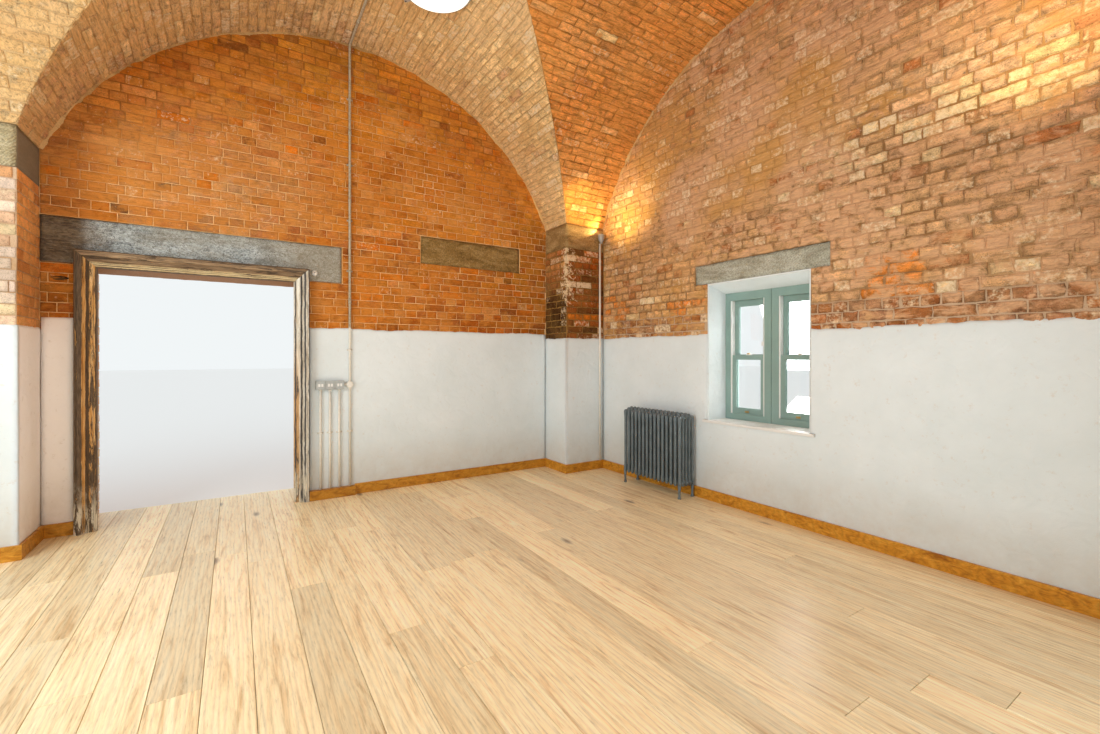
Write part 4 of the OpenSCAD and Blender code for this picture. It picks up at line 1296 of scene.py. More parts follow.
def stones():
    dark_grey = stone_material("lintel_stone", (0.20, 0.22, 0.21), (0.44, 0.485, 0.49), (0.61, 0.67, 0.69),
                               26.0, 20, brown=0.92, pitted=True)
    warm_grey = stone_material("window_stone", (0.23, 0.21, 0.15), (0.43, 0.425, 0.335), (0.58, 0.59, 0.505),
                               22.0, 35)
    olive = stone_material("impost_stone", (0.18, 0.115, 0.045), (0.34, 0.235, 0.100), (0.52, 0.39, 0.19),
                           24.0, 40)
    # The north-west impost, with painted shade on its return
    shadow = stone_material("dark_impost_stone", (0.24, 0.19, 0.105), (0.46, 0.38, 0.22), (0.64, 0.56, 0.38),
                            24.0, 40, shaded_return=True)
    earthy = stone_material("blind_lintel_stone", (0.13, 0.075, 0.018), (0.29, 0.165, 0.045),
                            (0.44, 0.285, 0.105), 24.0, 40)
    for name, material, step in (("door_lintel", dark_grey, 0.03), ("blind_lintel", earthy, 0.04),
                                 ("window_lintel", warm_grey, 0.035), ("window_sill", warm_grey, 0.03)):
        block(name, material, step, 3.1)
    warm = stone_material("warm_impost_stone", (0.20, 0.110, 0.034), (0.38, 0.225, 0.080), (0.56, 0.37, 0.16),
                          24.0, 40)
    for name, material in (("north_west", shadow), ("north_east", warm), ("south_west", olive),
                           ("south_east", warm)):
        block("impost_" + name, material, 0.042, 7.7)


def boards(material):
    """Floor boards that run north to south, cut round the piers and through the doorway."""
    rng = random.Random(71)
    pile = Pile()

    def board(x0, x1, y0, y1, chance):
        gap, edge = 0.0011, 0.0016
        if x1 - x0 < 0.01 or y1 - y0 < 0.01:
            return
        top = FLOOR_Z - rng.uniform(0.0, 0.0009)
        rings = [(gap, 0.0), (gap, top - edge), (gap + edge, top)]
        points = []
        for inset, z in rings:
            points += [(x0 + inset, y0 + inset, z), (x1 - inset, y0 + inset, z), (x1 - inset, y1 - inset, z),
                       (x0 + inset, y1 - inset, z)]
        faces = strips(3, 4, closed=True) + [(8, 9, 10, 11), (3, 2, 1, 0)]
        pile.add(points, faces, chance=chance)

    def strip(x0, x1, y_low, y_high, ledge):
        at = y_low - rng.uniform(0.0, 1.8)
        while at < y_high:
            end = at + rng.uniform(1.7, 3.1)
            chance = rng.random()
            low, high = max(at, y_low), min(end, y_high)
            board(x0, x1, low, high, chance)
            if ledge and high >= y_high - 0.001:
                board(max(x0, DOOR_X0), min(x1, DOOR_X1), y_high - 0.0022, OUTER, chance)
            at = end

    def widths(low, high, count):
        cuts = [low + (high - low) * k / count + (rng.uniform(-0.012, 0.012) if 0 < k < count else 0)
                for k in range(count + 1)]
        return list(zip(cuts, cuts[1:]))

    for low, high, count, y_low, y_high, ledge in ((-OUTER, -HALF, 5, -HALF, HALF, False),
                                                   (-HALF, HALF, 24, -OUTER, NORTH_Y, True),
                                                   (HALF, EAST_X, 3, -HALF, HALF, False)):
        for x0, x1 in widths(low, high, count):
            strip(x0, x1, y_low, y_high, ledge)
    pile.piece("floor_boards", material, "oak", ("floor",))


def moulding(name, material, paths, profile, replaces):
    """Sweeps a profile of (out, z) along plan paths whose room side is on the left, with mitres."""
    pile = Pile()
    rng = random.Random(81)
    for path in paths:
        normals = []
        for (x0, y0), (x1, y1) in zip(path, path[1:]):
            length = math.hypot(x1 - x0, y1 - y0)
            normals.append((-(y1 - y0) / length, (x1 - x0) / length))
        for k, ((x0, y0), (x1, y1)) in enumerate(zip(path, path[1:])):
            points = []
            for (x, y), other in (((x0, y0), k - 1), ((x1, y1), k + 1)):
                nx, ny = normals[k]
                if 0 <= other < len(normals):
                    mx, my = normals[other]
                    nx, ny = nx + mx, ny + my
                    scale = 2 / (nx * nx + ny * ny)
                    nx, ny = nx * scale, ny * scale
                points += [(x + nx * out, y + ny * out, z) for out, z in profile]
            n = len(profile)
            faces = [(i, (i + 1) % n, n + (i + 1) % n, n + i) for i in range(n)]
            faces += [tuple(reversed(range(n))), tuple(range(n, 2 * n))]
            pile.add(points, faces, chance=rng.random())
    pile.piece(name, material, "oak", replaces)


# The door's surround
def ovolo(a0, b0, a1, b1, steps, hollow=False):
    """Points of a quarter round between two places of a profile."""
    points = []
    for k in range(steps + 1):
        t = math.pi / 2 * k / steps
        s, c = (1 - math.cos(t), math.sin(t)) if not hollow else (math.sin(t), 1 - math.cos(t))
        points.append((a0 + (a1 - a0) * s, b0 + (b1 - b0) * c))
    return points


def bead(centre, base, radius):
    """Points of a half round on a profile."""
    steps = 6
    return [(centre - radius * math.cos(math.pi * k / steps), base + radius * math.sin(math.pi * k / steps))
            for k in range(steps + 1)]


# Places across the surround's face and their height from the wall
SURROUND_W = 0.148
SURROUND = ([(0.0, -0.002), (0.0, 0.019), (0.002, 0.021), (0.006, 0.0225), (0.010, 0.0225)]
            + bead(0.0175, 0.025, 0.0065) + [(0.025, 0.024)]
            + ovolo(0.027, 0.028, 0.060, 0.055, 7, hollow=True) + [(0.061, 0.049)]
            + bead(0.0675, 0.050, 0.0055) + [(0.074, 0.048)] + bead(0.0800, 0.052, 0.0050) + [(0.086, 0.050)]
            + ovolo(0.087, 0.052, 0.122, 0.079, 7) + [(0.123, 0.071), (0.129, 0.071)]
            + [(0.130, 0.075), (0.136, 0.078), (0.143, 0.075), (0.1475, 0.066), (0.148, 0.055),
               (0.148, -0.002)])


def surround(material):
    """The moulded jambs and head, mitred at their corners, with the lining behind them."""
    mid_x = (CLEAR_X0 + CLEAR_X1) / 2

    def member(name, count, place, length, lining, kind):
        pile = Pile()
        points, tints = [], []
        for k in range(count + 1):
            for across, b in SURROUND:
                a = across * CASE_W / SURROUND_W
                t = k / count
                run = t * length(a)
                nick = (0.0010 * blotch(a * 60, run * 6, len(name))
                        + 0.0018 * blotch(a * 40, run * 31, 3.0) ** 3)
                chip = max(0.0, blotch(a * 25, run * 9, len(name) + 5.0) - 0.42) * 0.014
                out = b - chip * (b > 0.03) + nick if b > 0 else b
                x, z = place(a + nick * 0.5, t)
                points.append((x, NORTH_Y - out, z))
                tints.append((a, b, run, kind))
        n = len(SURROUND)
        faces = strips(count + 1, n) + [tuple(range(n)), tuple(reversed(range(count * n, (count + 1) * n)))]
        pile.add(points, faces, tints)
        if lining:
            x0, x1 = lining
            corners = [(x, y, z) for z in (FLOOR_Z, DOOR_LINTEL[0].z)
                       for x, y in ((x0, NORTH_Y), (x1, NORTH_Y), (x1, LINING_Y), (x0, LINING_Y))]
            tints = [(0.002 + 0.02 * (y - NORTH_Y), 0.0, z, kind) for x, y, z in corners]
            pile.add(corners, strips(2, 4, closed=True) + [(3, 2, 1, 0), (4, 5, 6, 7)], tints)
        pile.piece(name + "_moulding", material, "old_timber", (name,))

    member("door_jamb_west", 130, lambda a, t: (CLEAR_X0 - a, FLOOR_Z + t * (CLEAR_TOP_Z + a - FLOOR_Z)),
           lambda a: CLEAR_TOP_Z + a - FLOOR_Z, (DOOR_X0, DOOR_X0 + LINER_T), 0.0)
    member("door_jamb_east", 130, lambda a, t: (CLEAR_X1 + a, FLOOR_Z + t * (CLEAR_TOP_Z + a - FLOOR_Z)),
           lambda a: CLEAR_TOP_Z + a - FLOOR_Z, (DOOR_X1 - LINER_T, DOOR_X1), 0.5)
    member("door_head", 90, lambda a, t: (mid_x + (2 * t - 1) * (mid_x - CLEAR_X0 + a), CLEAR_TOP_Z + a),
           lambda a: CLEAR_X1 - CLEAR_X0 + 2 * a, None, 1.0)


# The window
FRAME_GAP = 0.004
SASH_STILE = 0.044
SASH_RAIL = 0.050
MEETING_RAIL = 0.036
LINER = 0.012
BEAD = 0.008
# How far one bar runs into the next
LAP = 0.001


def ladder(x0, x1, y0, y1, z0, z1, g0, g1, foot, head):
    """Boxes of two stiles, from y0 to g0 and g1 to y1, and of two rails that run a little into them."""
    return [((x0, y0, z0), (x1, g0, z1)), ((x0, g1, z0), (x1, y1, z1)),
            ((x0, g0 - LAP, z0), (x1, g1 + LAP, foot)), ((x0, g0 - LAP, head), (x1, g1 + LAP, z1))]


def window(sage, white, brass, plaster):
    sash_lo, sash_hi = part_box("upper_sashes")
    low_lo, low_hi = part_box("lower_sashes")
    stile = sash_lo.y - FRAMES_LO.y
    unit_width = (FRAMES_HI.y - FRAMES_LO.y - FRAME_GAP) / 2
    x0, x1 = FRAMES_LO.x, FRAMES_HI.x
    frames, uppers, lowers, whites, metal = [], [], [], [], []

    def centred(near, far, y, half, low, high):
        return ((near, y - half, low), (far, y + half, high))

    for y in (FRAMES_LO.y, FRAMES_LO.y + unit_width + FRAME_GAP):
        inner0, inner1 = y + stile, y + unit_width - stile
        frames += ladder(x0, x1, y, y + unit_width, FRAMES_LO.z, FRAMES_HI.z, inner0, inner1, low_lo.z,
                         sash_hi.z)
        for side in (inner0, inner1 - LINER):
            whites.append(((x0 + 0.006, side, low_hi.z), (sash_lo.x, side + LINER, sash_hi.z)))
            whites.append(((x0 + 0.006, side, low_lo.z), (low_lo.x, side + LINER, low_hi.z)))
        g0, g1 = inner0 + SASH_STILE, inner1 - SASH_STILE
        for boxes, lo, hi, foot, head in ((uppers, sash_lo, sash_hi, MEETING_RAIL, SASH_RAIL),
                                          (lowers, low_lo, low_hi, SASH_RAIL, MEETING_RAIL)):
            z0, z1 = lo.z + foot, hi.z - head
            boxes += ladder(lo.x, hi.x, inner0, inner1, lo.z, hi.z, g0, g1, z0, z1)
            # Glazing beads on both sides of the glass
            for p, q in ((lo.x + 0.004, lo.x + 0.014), (hi.x - 0.012, hi.x - 0.004)):
                boxes += [((p, g0 - LAP, z0), (q, g0 + BEAD, z1)), ((p, g1 - BEAD, z0), (q, g1 + LAP, z1)),
                          ((p, g0, z0 - LAP), (q, g1, z0 + BEAD)), ((p, g0, z1 - BEAD), (q, g1, z1 + LAP))]
        # The catch's plate and the stop above the lower sash, then the lift's plate, the catch and the lift
        mid, inside, top, foot = (inner0 + inner1) / 2, low_lo.x, low_hi.z, low_lo.z
        whites.append(centred(inside + 0.004, low_hi.x - 0.004, mid, 0.024, top, top + 0.009))
        whites.append(((inside - 0.010, inner0 + 0.006, top + 0.085),
                       (inside + 0.016, inner0 + 0.034, top + 0.125)))
        metal.append(centred(inside - 0.020, inside - 0.014, mid, 0.020, foot + 0.018, foot + 0.034))
        metal.append(centred(inside + 0.002, inside + 0.016, mid, 0.013, top + 0.008, top + 0.019))
        metal.append(centred(inside - 0.018, inside + 0.002, mid, 0.008, foot + 0.020, foot + 0.030))
    bars("window_frame_members", sage, frames, 0.0025, ("window_frames",))
    bars("upper_sash_members", sage, uppers, 0.0018, ("upper_sashes",))
    bars("lower_sash_members", sage, lowers, 0.0018, ("lower_sashes",))
    bars("sash_liners", white, whites, 0.0012)
    bars("sash_lifts", brass, metal, 0.0016)
    lo, hi = WINDOW_BOARD
    bars("window_board_joinery", white,
         [((lo.x, lo.y, lo.z), (EAST_X - DADO_T - 0.0005, hi.y, hi.z)),
          ((EAST_X - DADO_T - 0.004, WINDOW_Y0, lo.z), (hi.x, WINDOW_Y1, hi.z))], 0.0075, ("window_board",),
         3)
    dressed(plaster, "window_soffit", "window_reveals")


# Radiator, electrics and lamps
RAD_COUNT = 15
RAD_COLUMNS = 5
RAD_WIDTH = 0.036
RAD_PLUG = 0.010
# A column's radius by its height over the radiator's underside, then by its depth below the column's top
RAD_LOW = ((0.004, 0.010), (0.016, 0.0175), (0.055, 0.0190), (0.085, 0.0148))
RAD_HIGH = ((0.095, 0.0148), (0.060, 0.0175), (0.022, 0.0200), (0.007, 0.0150), (0.0, 0.006))
CONDUIT_R = 0.012
COUPLER_R = 0.0150
SADDLE_R = (0.0132, 0.0140)
SADDLE_HALF = 0.0085
SCREW_R = 0.0032
RISER_FROM_BOXING_END = 0.046
# The corner lamps' turned shapes, as shares of their radius and length
HEAD_PROFILE = ((0.0, 0.0), (0.45, 0.0), (0.50, 0.18), (0.80, 0.30), (0.97, 0.55), (1.0, 0.93), (0.96, 0.97),
                (0.86, 0.95), (0.80, 0.60), (0.0, 0.55))
BULB_PROFILE = ((0.0, 0.60), (0.5, 0.62), (0.72, 0.78), (0.6, 0.95), (0.3, 0.995), (0.0, 1.0))


def radiator(iron):
    lo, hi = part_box("radiator")
    y0, y1 = lo.y + RAD_PLUG, hi.y - RAD_PLUG
    pitch = (y1 - y0 - RAD_WIDTH) / (RAD_COUNT - 1)
    foot = FLOOR_Z + 0.110
    depth_pitch = (hi.x - lo.x) / RAD_COLUMNS
    pile = Pile()
    for section in range(RAD_COUNT):
        y = y0 + RAD_WIDTH / 2 + section * pitch
        for column in range(RAD_COLUMNS):
            x = lo.x + (column + 0.5) * depth_pitch
            end = column in (0, RAD_COLUMNS - 1)
            top = hi.z - (0.030 if end else 0.010 if column % 2 else 0.0)
            steps = [(foot + rise, r) for rise, r in RAD_LOW] + [(top - drop, r) for drop, r in RAD_HIGH]
            tube(pile, [(x, y, z) for z, r in steps], [r for z, r in steps], 12)
        for z, drop in ((foot + 0.036, 0.0), (hi.z - 0.042, 0.010)):
            tube(pile, [(lo.x + 0.016, y, z - drop), (lo.x + 0.05, y, z), (hi.x - 0.05, y, z),
                        (hi.x - 0.016, y, z - drop)], 0.0165, 12)
    # Nipples that join the sections, with a plug at each end
    middle = (lo.x + hi.x) / 2
    for z in (foot + 0.035, hi.z - 0.035):
        tube(pile, [(middle, y0 - 0.001, z), (middle, y1 + 0.001, z)], 0.021, 16)
        for y, way in ((y0, -1), (y1, 1)):
            tube(pile, [(middle, y, z), (middle, y + way * RAD_PLUG * 0.55, z)], 0.0225, 8)
            tube(pile, [(middle, y, z), (middle, y + way * RAD_PLUG, z)], 0.012, 8)
    for section in (0, RAD_COUNT - 1):
        y = y0 + RAD_WIDTH / 2 + section * pitch
        for x in (lo.x + 0.017, hi.x - 0.017):
            tube(pile, [(x, y, FLOOR_Z), (x, y, FLOOR_Z + 0.012), (x, y, FLOOR_Z + 0.03),
                        (x, y, FLOOR_Z + 0.07), (x, y, foot + 0.02)], [0.0165, 0.0165, 0.011, 0.0115, 0.0165],
                 12)
    pile.piece("radiator_sections", iron, "iron", ("radiator",), smooth=True)


def screw(pile, x, y, z):
    profile = [(0.0, -0.0022), (SCREW_R * 0.7, -0.0020), (SCREW_R, -0.0008), (SCREW_R, 0.001)]
    lathe(pile, profile, (x, y, z), "Y", 10)


def saddle(pile, x, y, z):
    """A saddle's ring round an upright conduit."""
    inside, outside = SADDLE_R
    lathe(pile, [(inside, -SADDLE_HALF), (outside, -SADDLE_HALF), (outside, SADDLE_HALF),
                 (inside, SADDLE_HALF)], (x, y, z), "Z", 20)


def electrics(conduit, painted, steel, white):
    lo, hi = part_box("switch_boxes")
    count = 3
    width = (hi.x - lo.x) / count
    bodies, plates, rockers = [], [], []
    screws = Pile()
    joint_z = (lo.z + hi.z) / 2
    for k in range(count):
        x0, x1 = lo.x + k * width, lo.x + (k + 1) * width
        bodies.append(((x0 + 0.001, lo.y + 0.005, lo.z + 0.001), (x1 - 0.001, hi.y, hi.z - 0.001)))
        plates.append(((x0 + 0.0003, lo.y + 0.0015, lo.z), (x1 - 0.0003, lo.y + 0.007, hi.z)))
        for side in (-1, 1):
            x = (x0 + x1) / 2 + side * 0.013
            rockers.append(((x - 0.0095, lo.y, joint_z - 0.014), (x + 0.0095, lo.y + 0.004, joint_z + 0.014)))
            screw(screws, (x0 + x1) / 2 + side * 0.030, lo.y + 0.002, joint_z)
    bars("switch_box_bodies", steel, bodies, 0.004, ("switch_boxes",))
    bars("switch_plates", steel, plates, 0.003)
    bars("switch_rockers", white, rockers, 0.0015)
    lamp_lo, lamp_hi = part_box("vault_lamp")
    riser_x = BOXING[1].x - RISER_FROM_BOXING_END
    wall_y = NORTH_Y - DADO_T - CONDUIT_R
    top_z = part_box("conduits")[1].z - CONDUIT_R
    drops = [lo.x + (k + 0.5) * width for k in range(count)]
    pile = Pile()
    for x in drops:
        tube(pile, [(x, wall_y, BOXING[1].z), (x, wall_y, lo.z)], CONDUIT_R)
        tube(pile, [(x, wall_y, lo.z - 0.014), (x, wall_y, lo.z)], 0.0155, 6)
    tube(pile, [(hi.x, wall_y, joint_z), (riser_x, wall_y, joint_z)], CONDUIT_R)
    lamp_y = (lamp_lo.y + lamp_hi.y) / 2
    tube(pile, bend([(riser_x, wall_y, BOXING[1].z), (riser_x, wall_y, top_z), (riser_x, lamp_y, top_z),
                     (lamp_lo.x + 0.02, lamp_y, top_z)], 0.030), CONDUIT_R)
    # The round junction box
    lathe(pile, [(0.0, -0.0355), (0.026, -0.0355), (0.0305, -0.034), (0.032, -0.031), (0.032, -0.002)],
          (riser_x, NORTH_Y - DADO_T, joint_z), "Y", 28)
    for side in (-1, 1):
        screw(screws, riser_x + side * 0.021, NORTH_Y - DADO_T - 0.0355, joint_z + side * 0.008)
    screws.piece("switch_screws", steel, "steel", smooth=True)
    # Couplers where the riser and the crown run are joined
    for z in (1.95, 2.95, 3.62):
        tube(pile, [(riser_x, wall_y, z - 0.022), (riser_x, wall_y, z + 0.022)], COUPLER_R)
    tube(pile, [(riser_x, 2.30, top_z), (riser_x, 2.26, top_z)], COUPLER_R)
    # Saddles, and their screws as a darker piece
    fixings = Pile()
    for x, z in [(x, 0.67) for x in drops] + [(riser_x, z) for z in (0.67, 1.47, 2.25, 2.75, 3.30, 3.95)]:
        saddle(pile, x, wall_y, z)
        back = NORTH_Y - (DADO_T if z < NORTH_DADO_Z else 0.006)
        face = back - 0.0022
        corners = [(x + along, y, z + up) for y in (face, back)
                   for along, up in ((-0.027, -SADDLE_HALF), (0.027, -SADDLE_HALF), (0.027, SADDLE_HALF),
                                     (-0.027, SADDLE_HALF))]
        pile.add(corners, [(0, 1, 2, 3), (7, 6, 5, 4), (0, 4, 5, 1), (1, 5, 6, 2), (2, 6, 7, 3),
                           (3, 7, 4, 0)])
        for side in (-1, 1):
            screw(fixings, x + side * 0.0205, face, z)
    pile.piece("conduit_runs", conduit, "steel", ("conduits",), smooth=True)
    fixings.piece("saddle_screws", steel, "steel", smooth=True)

    corner = Pile()
    spot_lo, spot_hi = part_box("corner_conduits")
    x = (spot_lo.x + spot_hi.x) / 2
    for side in (-1, 1):
        y = side * (spot_hi.y - CONDUIT_R)
        tube(corner, [(x, y, spot_lo.z), (x, y, spot_hi.z)], CONDUIT_R)
        for z in (0.67, 1.40, 2.02, 2.56):
            saddle(corner, x, y, z)
    corner.piece("corner_conduit_runs", painted, "steel", ("corner_conduits",), smooth=True)


def fitting(white, black):
    """The small round fitting on the door lintel, beside the surround's corner."""
    at = (CASE_X1 + 0.050, DOOR_LINTEL[0].y, DOOR_LINTEL[0].z + 0.085)
    pile = Pile()
    lathe(pile, [(0.0, -0.0235), (0.011, -0.0230), (0.020, -0.0185), (0.0255, -0.0100), (0.0265, 0.002)], at,
          "Y", 28)
    pile.piece("lintel_fitting", white, "white_paint", smooth=True)
    dot = Pile()
    lathe(dot, [(0.0, -0.0252), (0.0035, -0.0250), (0.0048, -0.0235), (0.0048, -0.0215)], at, "Y", 14)
    dot.piece("lintel_fitting_screw", black, "steel", smooth=True)


def lamps(steel, black, white_glow, warm_glow):
    lo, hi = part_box("spotlights")
    x = (lo.x + hi.x) / 2
    radius = (hi.x - lo.x) / 2
    length = hi.z - lo.z
    heads, bulbs = Pile(), Pile()
    for side in (-1, 1):
        at = (x, side * (hi.y - radius), lo.z)
        for pile, profile, sides in ((heads, HEAD_PROFILE, 28), (bulbs, BULB_PROFILE, 24)):
            lathe(pile, [(radius * out, length * up) for out, up in profile], at, "Z", sides)
    heads.piece("spotlight_heads", steel, "steel", ("spotlights",), smooth=True)
    bulbs.piece("spotlight_bulbs", warm_glow, "lamp_glass", smooth=True)

    lo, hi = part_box("vault_lamp")
    glass_lo, glass_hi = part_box("vault_lamp_glass")
    at = ((lo.x + hi.x) / 2, (lo.y + hi.y) / 2, lo.z)
    radius = (hi.x - lo.x) / 2
    drum = Pile()
    sides = 72
    points = []
    for r, z in ((radius - 0.020, 0.012), (radius - 0.019, 0.001), (radius - 0.014, -0.003),
                 (radius - 0.006, -0.003), (radius, 0.003), (radius, 0.014), (radius - 0.003, 0.017),
                 (radius - 0.004, None)):
        for a in turns(sides):
            px, py = at[0] + r * math.cos(a), at[1] + r * math.sin(a)
            soffit = CENTRE_Z + math.sqrt(RADIUS ** 2 - px ** 2) - 0.001
            points.append((px, py, soffit if z is None else at[2] + z))
    drum.add(points, strips(8, sides, closed=True))
    drum.piece("vault_lamp_drum", steel, "steel", ("vault_lamp",), smooth=True)
    # The drum's fixing lug, its spacer and its screw
    lug, dark = Pile(), Pile()
    turn = math.radians(120.5)
    along, aside = Vector((math.cos(turn), math.sin(turn), 0)), Vector((-math.sin(turn), math.cos(turn), 0))
    outline = [(0.262, -0.020), (0.318, -0.017), (0.338, -0.011), (0.345, 0.0), (0.338, 0.011),
               (0.318, 0.017), (0.262, 0.020)]
    count = len(outline)
    corners = [Vector(at) + along * r + aside * w + Vector((0, 0, z)) for z in (0.0040, 0.0075)
               for r, w in outline]
    ends = [tuple(reversed(range(count))), tuple(range(count, 2 * count))]
    lug.add(corners, strips(2, count, closed=True) + ends)
    middle = Vector(at) + along * 0.329
    soffit = CENTRE_Z + math.sqrt(RADIUS ** 2 - middle.x ** 2)
    tube(lug, [middle + Vector((0, 0, 0.007)), Vector((middle.x, middle.y, soffit - 0.001))], 0.009)
    lug.piece("vault_lamp_lug", steel, "steel")
    lathe(dark, [(0.0, 0.0005), (0.0045, 0.0010), (0.0062, 0.0030), (0.0062, 0.0050)], middle, "Z", 14)
    dark.piece("vault_lamp_screw", black, "steel", smooth=True)

    dome = Pile()
    depth = glass_hi.z - glass_lo.z
    rim = radius - 0.018
    profile = [(0.0, -depth)] + [(rim * math.sin(t), -depth * math.cos(t) ** 0.8)
                                 for t in [math.pi / 2 * k / 14 for k in range(1, 14)]] + [(rim, 0.004)]
    lathe(dome, profile, at, "Z", 72)
    dome.piece("vault_lamp_dome", white_glow, "lamp_glass", ("vault_lamp_glass",), smooth=True)


def light(name, kind, at, look, power, colour, **settings):
    data = bpy.data.lights.new(name, kind)
    data.energy = power
    data.color = colour
    for key, value in settings.items():
        setattr(data, key, value)
    lamp = bpy.data.objects.new(name, data)
    lamp.location = at
    lamp.rotation_euler = (Vector(look) - Vector(at)).to_track_quat("-Z", "Y").to_euler()
    bpy.context.scene.collection.objects.link(lamp)
    return lamp


def lights():
    world = bpy.data.worlds.new("studio")
    world.use_nodes = True
    background = world.node_tree.nodes["Background"]
    background.inputs["Color"].default_value = (0.95, 0.99, 1.0, 1.0)
    background.inputs["Strength"].default_value = 0.93
    bpy.context.scene.world = world
    for name, at, look, size, power, colour in (
            ("south_light", (-0.4, -3.9, 2.5), (0.2, 2.0, 1.6), (3.4, 3.0), 30, (0.86, 0.97, 1)),
            ("west_light", (-3.9, -0.2, 2.4), (2.0, 0.4, 1.6), (2.2, 2.2), 104, (0.88, 0.97, 1)),
            ("vault_fill", (0.0, 0.0, 0.30), (0, 0, 4), (3.8, 3.8), 32, (0.93, 0.98, 1)),
            ("window_light", (3.8, 0.165, 1.9), (2.0, 0.165, 1.1), (1.2, 1.4), 60, (0.95, 0.99, 1)),
            ("sill_light", (3.75, 0.165, 0.75), (3.0, 0.165, 2.1), (0.8, 0.9), 26, (1, 1, 0.96))):
        lamp = light(name, "AREA", at, look, power, colour, shape="RECTANGLE", size=size[0], size_y=size[1])
        lamp.visible_camera = False
        lamp.visible_glossy = False
    # The corner lamps' glow on the webs and the window wall
    lo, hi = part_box("spotlights")
    x, y, z = (lo.x + hi.x) / 2, hi.y - (hi.x - lo.x) / 2, hi.z + 0.015
    glows = []
    for side in (-1, 1):
        glows.append(("web_foot_glow", (x - 0.02, side * (y - 0.02), z),
                      (x - 1.0, side * (y + 0.15), z + 0.75), 7, 118, 0.25, 0.012))
        glows.append(("web_glow", (x - 0.48, side * (y - 0.54), z + 0.04),
                      (x - 0.38, side * (y + 0.02), z + 0.27), 19, 78, 1.0, 0.02))
    glows.append(("north_wall_glow", (x - 0.46, y - 0.30, z - 0.04), (EAST_X, y - 0.40, z + 0.17), 34, 94,
                  1.0, 0.02))
    glows.append(("south_wall_glow", (x - 0.62, 0.40 - y, z + 0.10), (EAST_X, 0.62 - y, z + 0.34), 27, 88,
                  1.0, 0.02))
    for name, at, look, power, angle, edge, soft in glows:
        light(name, "SPOT", at, look, power, (1.0, 0.77, 0.33), spot_size=math.radians(angle),
              spot_blend=edge, shadow_soft_size=soft)
    view = bpy.context.scene.view_settings
    view.view_transform = "Standard"
    view.look = "None"
    view.exposure = 0.0


def ground():
    mesh = bpy.data.meshes.new("ground")
    far = 60.0
    mesh.from_pydata([(-far, -far, 0), (far, -far, 0), (far, far, 0), (-far, far, 0)], [], [(0, 1, 2, 3)])
    s = Shader("ground", roughness=0.9)
    s.bsdf.inputs["Base Color"].default_value = (0.92, 0.91, 0.90, 1)
    mesh.materials.append(s.material)
    made = bpy.data.objects.new("ground", mesh)
    bpy.context.scene.collection.objects.link(made)


def masonry():
    # The north mortar's shade colour is painted shade for the joints under the arch
    lime_tan = mortar_material("north_mortar", (0.92, 0.60, 0.30), (0.72, 0.39, 0.14), 0.58, RED_WASH,
                               shade=(0.34, 0.125, 0.022))
    buff_tan = mortar_material("east_mortar", (0.56, 0.345, 0.165), (0.31, 0.160, 0.062), 0.92, OCHRE_WASH,
                               foot=(0.60, 0.43, 0.29))
    cove_tan = mortar_material("cove_mortar", (0.74, 0.50, 0.25), (0.56, 0.34, 0.13), 0.4, OCHRE_WASH)
    vault_tan = mortar_material("vault_mortar", (0.64, 0.400, 0.175), (0.42, 0.235, 0.088), 0.86)
    ember = mortar_material("east_vault_mortar", (0.50, 0.240, 0.065), (0.26, 0.110, 0.024), 0.70, EMBER_WASH)
    cream_tan = mortar_material("west_vault_mortar", (0.60, 0.44, 0.25), (0.44, 0.29, 0.13), 0.5)
    pink_tan = mortar_material("west_mortar", (0.70, 0.50, 0.34), (0.48, 0.29, 0.15))
    dark_tan = mortar_material("pier_mortar", (0.40, 0.22, 0.06), (0.14, 0.060, 0.014), splash=True)
    dust = (0.70, 0.450, 0.190)
    north_brick = brick_material("north_brick", 0.5, 0.28, 0.22, dust, 0.06, 0.65, RED_WASH, 0.30, "X", 0.24)
    wall_brick = brick_material("wall_brick", 0.45, 0.28, 0.22, dust, 0.10)
    old_brick = brick_material("old_brick", 1.0, 0.46, 0.18, dust, 0.24, 0.92, OCHRE_WASH, 0.0, "Y", 0.28)
    pier_brick = brick_material("pier_brick", 1.0, 0.50, 0.18, (0.60, 0.33, 0.09), 0.24, splash=True)
    north_web_brick = brick_material("north_web_brick", 0.9, 0.46, 0.18, dust, 0.26, 0.78, TAN_WASH,
                                     along="Y", streaks=0.42)
    east_web_brick = brick_material("east_web_brick", 0.9, 0.46, 0.18, dust, 0.22, 0.66, EMBER_WASH,
                                    along="X", streaks=0.42)
    north_wall(lime_tan, north_brick)
    east_wall(buff_tan, old_brick, wall_brick)
    web("vault_north", 0, vault_tan, north_web_brick, wall_brick, soffit_tint, 31, NORTH_Y, 0.0048)
    web("vault_east", 1, ember, east_web_brick, wall_brick, east_soffit_tint, 35, EAST_X, 0.0060)
    web("vault_south", 2, vault_tan, north_web_brick, wall_brick, soffit_tint, 39, OUTER, 0.0048)
    web("vault_west", 3, cream_tan, north_web_brick, wall_brick, west_soffit_tint, 43, OUTER, 0.0048)
    pier("north_west", -1, 1, pink_tan, wall_brick, west_return_tint, west_face_tint, 51)
    pier("north_east", 1, 1, dark_tan, pier_brick, black_tint, sooty_tint, 61)
    pier("south_west", -1, -1, pink_tan, wall_brick, west_return_tint, west_face_tint, 71)
    pier("south_east", 1, -1, dark_tan, pier_brick, west_return_tint, sooty_tint, 81)
    fillet("north_wall_fillet", vault_tan, 0, NORTH_Y, 0.027, 1.5)
    fillet("east_wall_fillet", cove_tan, 1, EAST_X, 0.032, 8.5)


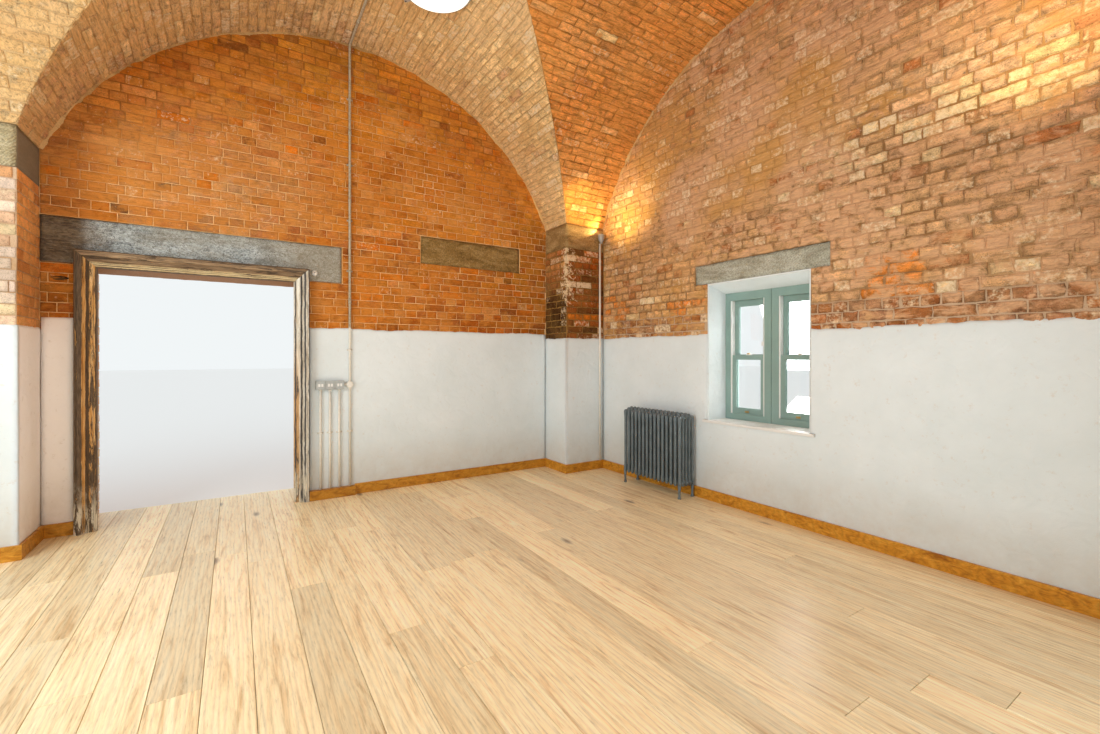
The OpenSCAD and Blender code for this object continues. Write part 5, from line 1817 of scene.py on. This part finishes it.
def plasterwork(plaster):
    n, h, o = NORTH_Y, HALF, OUTER
    sheet("north_wall_plastering", plaster,
          [[(-h + DADO_T, n, 0, -1), (CASE_X0, n, 0, -1)], [(CASE_X1, n, 0, -1), (h - DADO_T, n, 0, -1)]],
          NORTH_DADO_Z, ("north_wall_plaster",), 2.0, dip=lambda x: 0.022 if x > CASE_X1 - 0.01 else 0.0)
    y0, y1, board_z = WINDOW_BOARD[0].y, WINDOW_BOARD[1].y, WINDOW_BOARD[1].z
    sheet("east_wall_plastering", plaster, [[(EAST_X, h - DADO_T, -1, 0), (EAST_X, -h + DADO_T, -1, 0)]],
          DADO_Z, ("east_wall_plaster",), 5.0,
          holes=[(WINDOW_Y0, WINDOW_Y1, WINDOW_SILL_Z, 9.0), (y0, y1, WINDOW_SILL_Z, board_z)],
          marks=(WINDOW_Y0, WINDOW_Y1, y0, y1), levels=(WINDOW_SILL_Z, board_z))

    def wrap(sx, sy):
        """Plan points round a pier's inner corner, with a rounded arris."""
        x_end = EAST_X if sx > 0 else o
        y_end = n if sy > 0 else o
        arc = [(sx * h, sy * h, -sx * math.sin(t), -sy * math.cos(t))
               for t in [math.pi / 2 * k / 5 for k in range(6)]]
        run = [(sx * x_end, sy * h, 0, -sy)] + arc + [(sx * h, sy * y_end, -sx, 0)]
        return run if sx * sy < 0 else list(reversed(run))

    sheet("pier_plastering", plaster, [wrap(sx, sy) for sx in (-1, 1) for sy in (-1, 1)], DADO_Z,
          ("pier_plaster",), 8.0)


def joinery():
    honey, tawny, umber = (0.98, 0.85, 0.58), (0.94, 0.75, 0.46), (0.68, 0.45, 0.22)
    boards(oak_material("floor_oak", honey, tawny, umber, "Y", 0.32))
    trim = oak_material("skirting_oak", (0.66, 0.32, 0.040), (0.52, 0.21, 0.015), (0.29, 0.095, 0.006), "ANY",
                        0.40)
    a, f, e = HALF - DADO_T, NORTH_Y - DADO_T, EAST_X - DADO_T
    z = SKIRT_Z
    profile = [(0.0, FLOOR_Z), (SKIRT_T, FLOOR_Z), (SKIRT_T, z - 0.004), (SKIRT_T - 0.0015, z - 0.001),
               (SKIRT_T - 0.004, z), (0.0, z)]
    moulding("skirting_lengths", trim,
             [[(CASE_X0, f), (-a, f), (-a, a), (-OUTER, a)],
              [(-OUTER, -a), (-a, -a), (-a, -OUTER)],
              [(a, -OUTER), (a, -a), (e, -a), (e, a), (a, a), (a, f), (BOXING[1].x, f)]],
             profile, ("skirting_boards",))
    bars("conduit_boxing_board", trim, [BOXING], 0.003, ("conduit_boxing",))
    surround(old_timber_material())


def build():
    ground()
    lights()
    masonry()
    stones()
    plaster = plaster_material()
    plasterwork(plaster)
    joinery()
    sage = painted_material("sage_paint", (0.245, 0.36, 0.322), (0.50, 0.57, 0.50))
    white = painted_material("white_paint", (0.80, 0.79, 0.76), (0.62, 0.60, 0.56), 0.35)
    brass = metal_material("brass", (0.55, 0.36, 0.12), 0.3, 1.0)
    steel = metal_material("grey_steel", (0.46, 0.48, 0.47), 0.42, 0.4)
    window(sage, white, brass, plaster)
    dressed(glass_material(), "window_glass")
    radiator(iron_material())
    electrics(conduit_material("conduit_steel", NORTH_DADO_Z), conduit_material("painted_conduit", SPRING_Z),
              steel, white)
    black = metal_material("dark_steel", (0.030, 0.028, 0.026), 0.5, 0.3)
    fitting(white, black)
    lamps(steel, black, glow_material("lamp_glow", (1.0, 0.96, 0.86), 1.15),
          glow_material("warm_glow", (1.0, 0.80, 0.42), 9.0))


build()

bpy.context.view_layer.update()
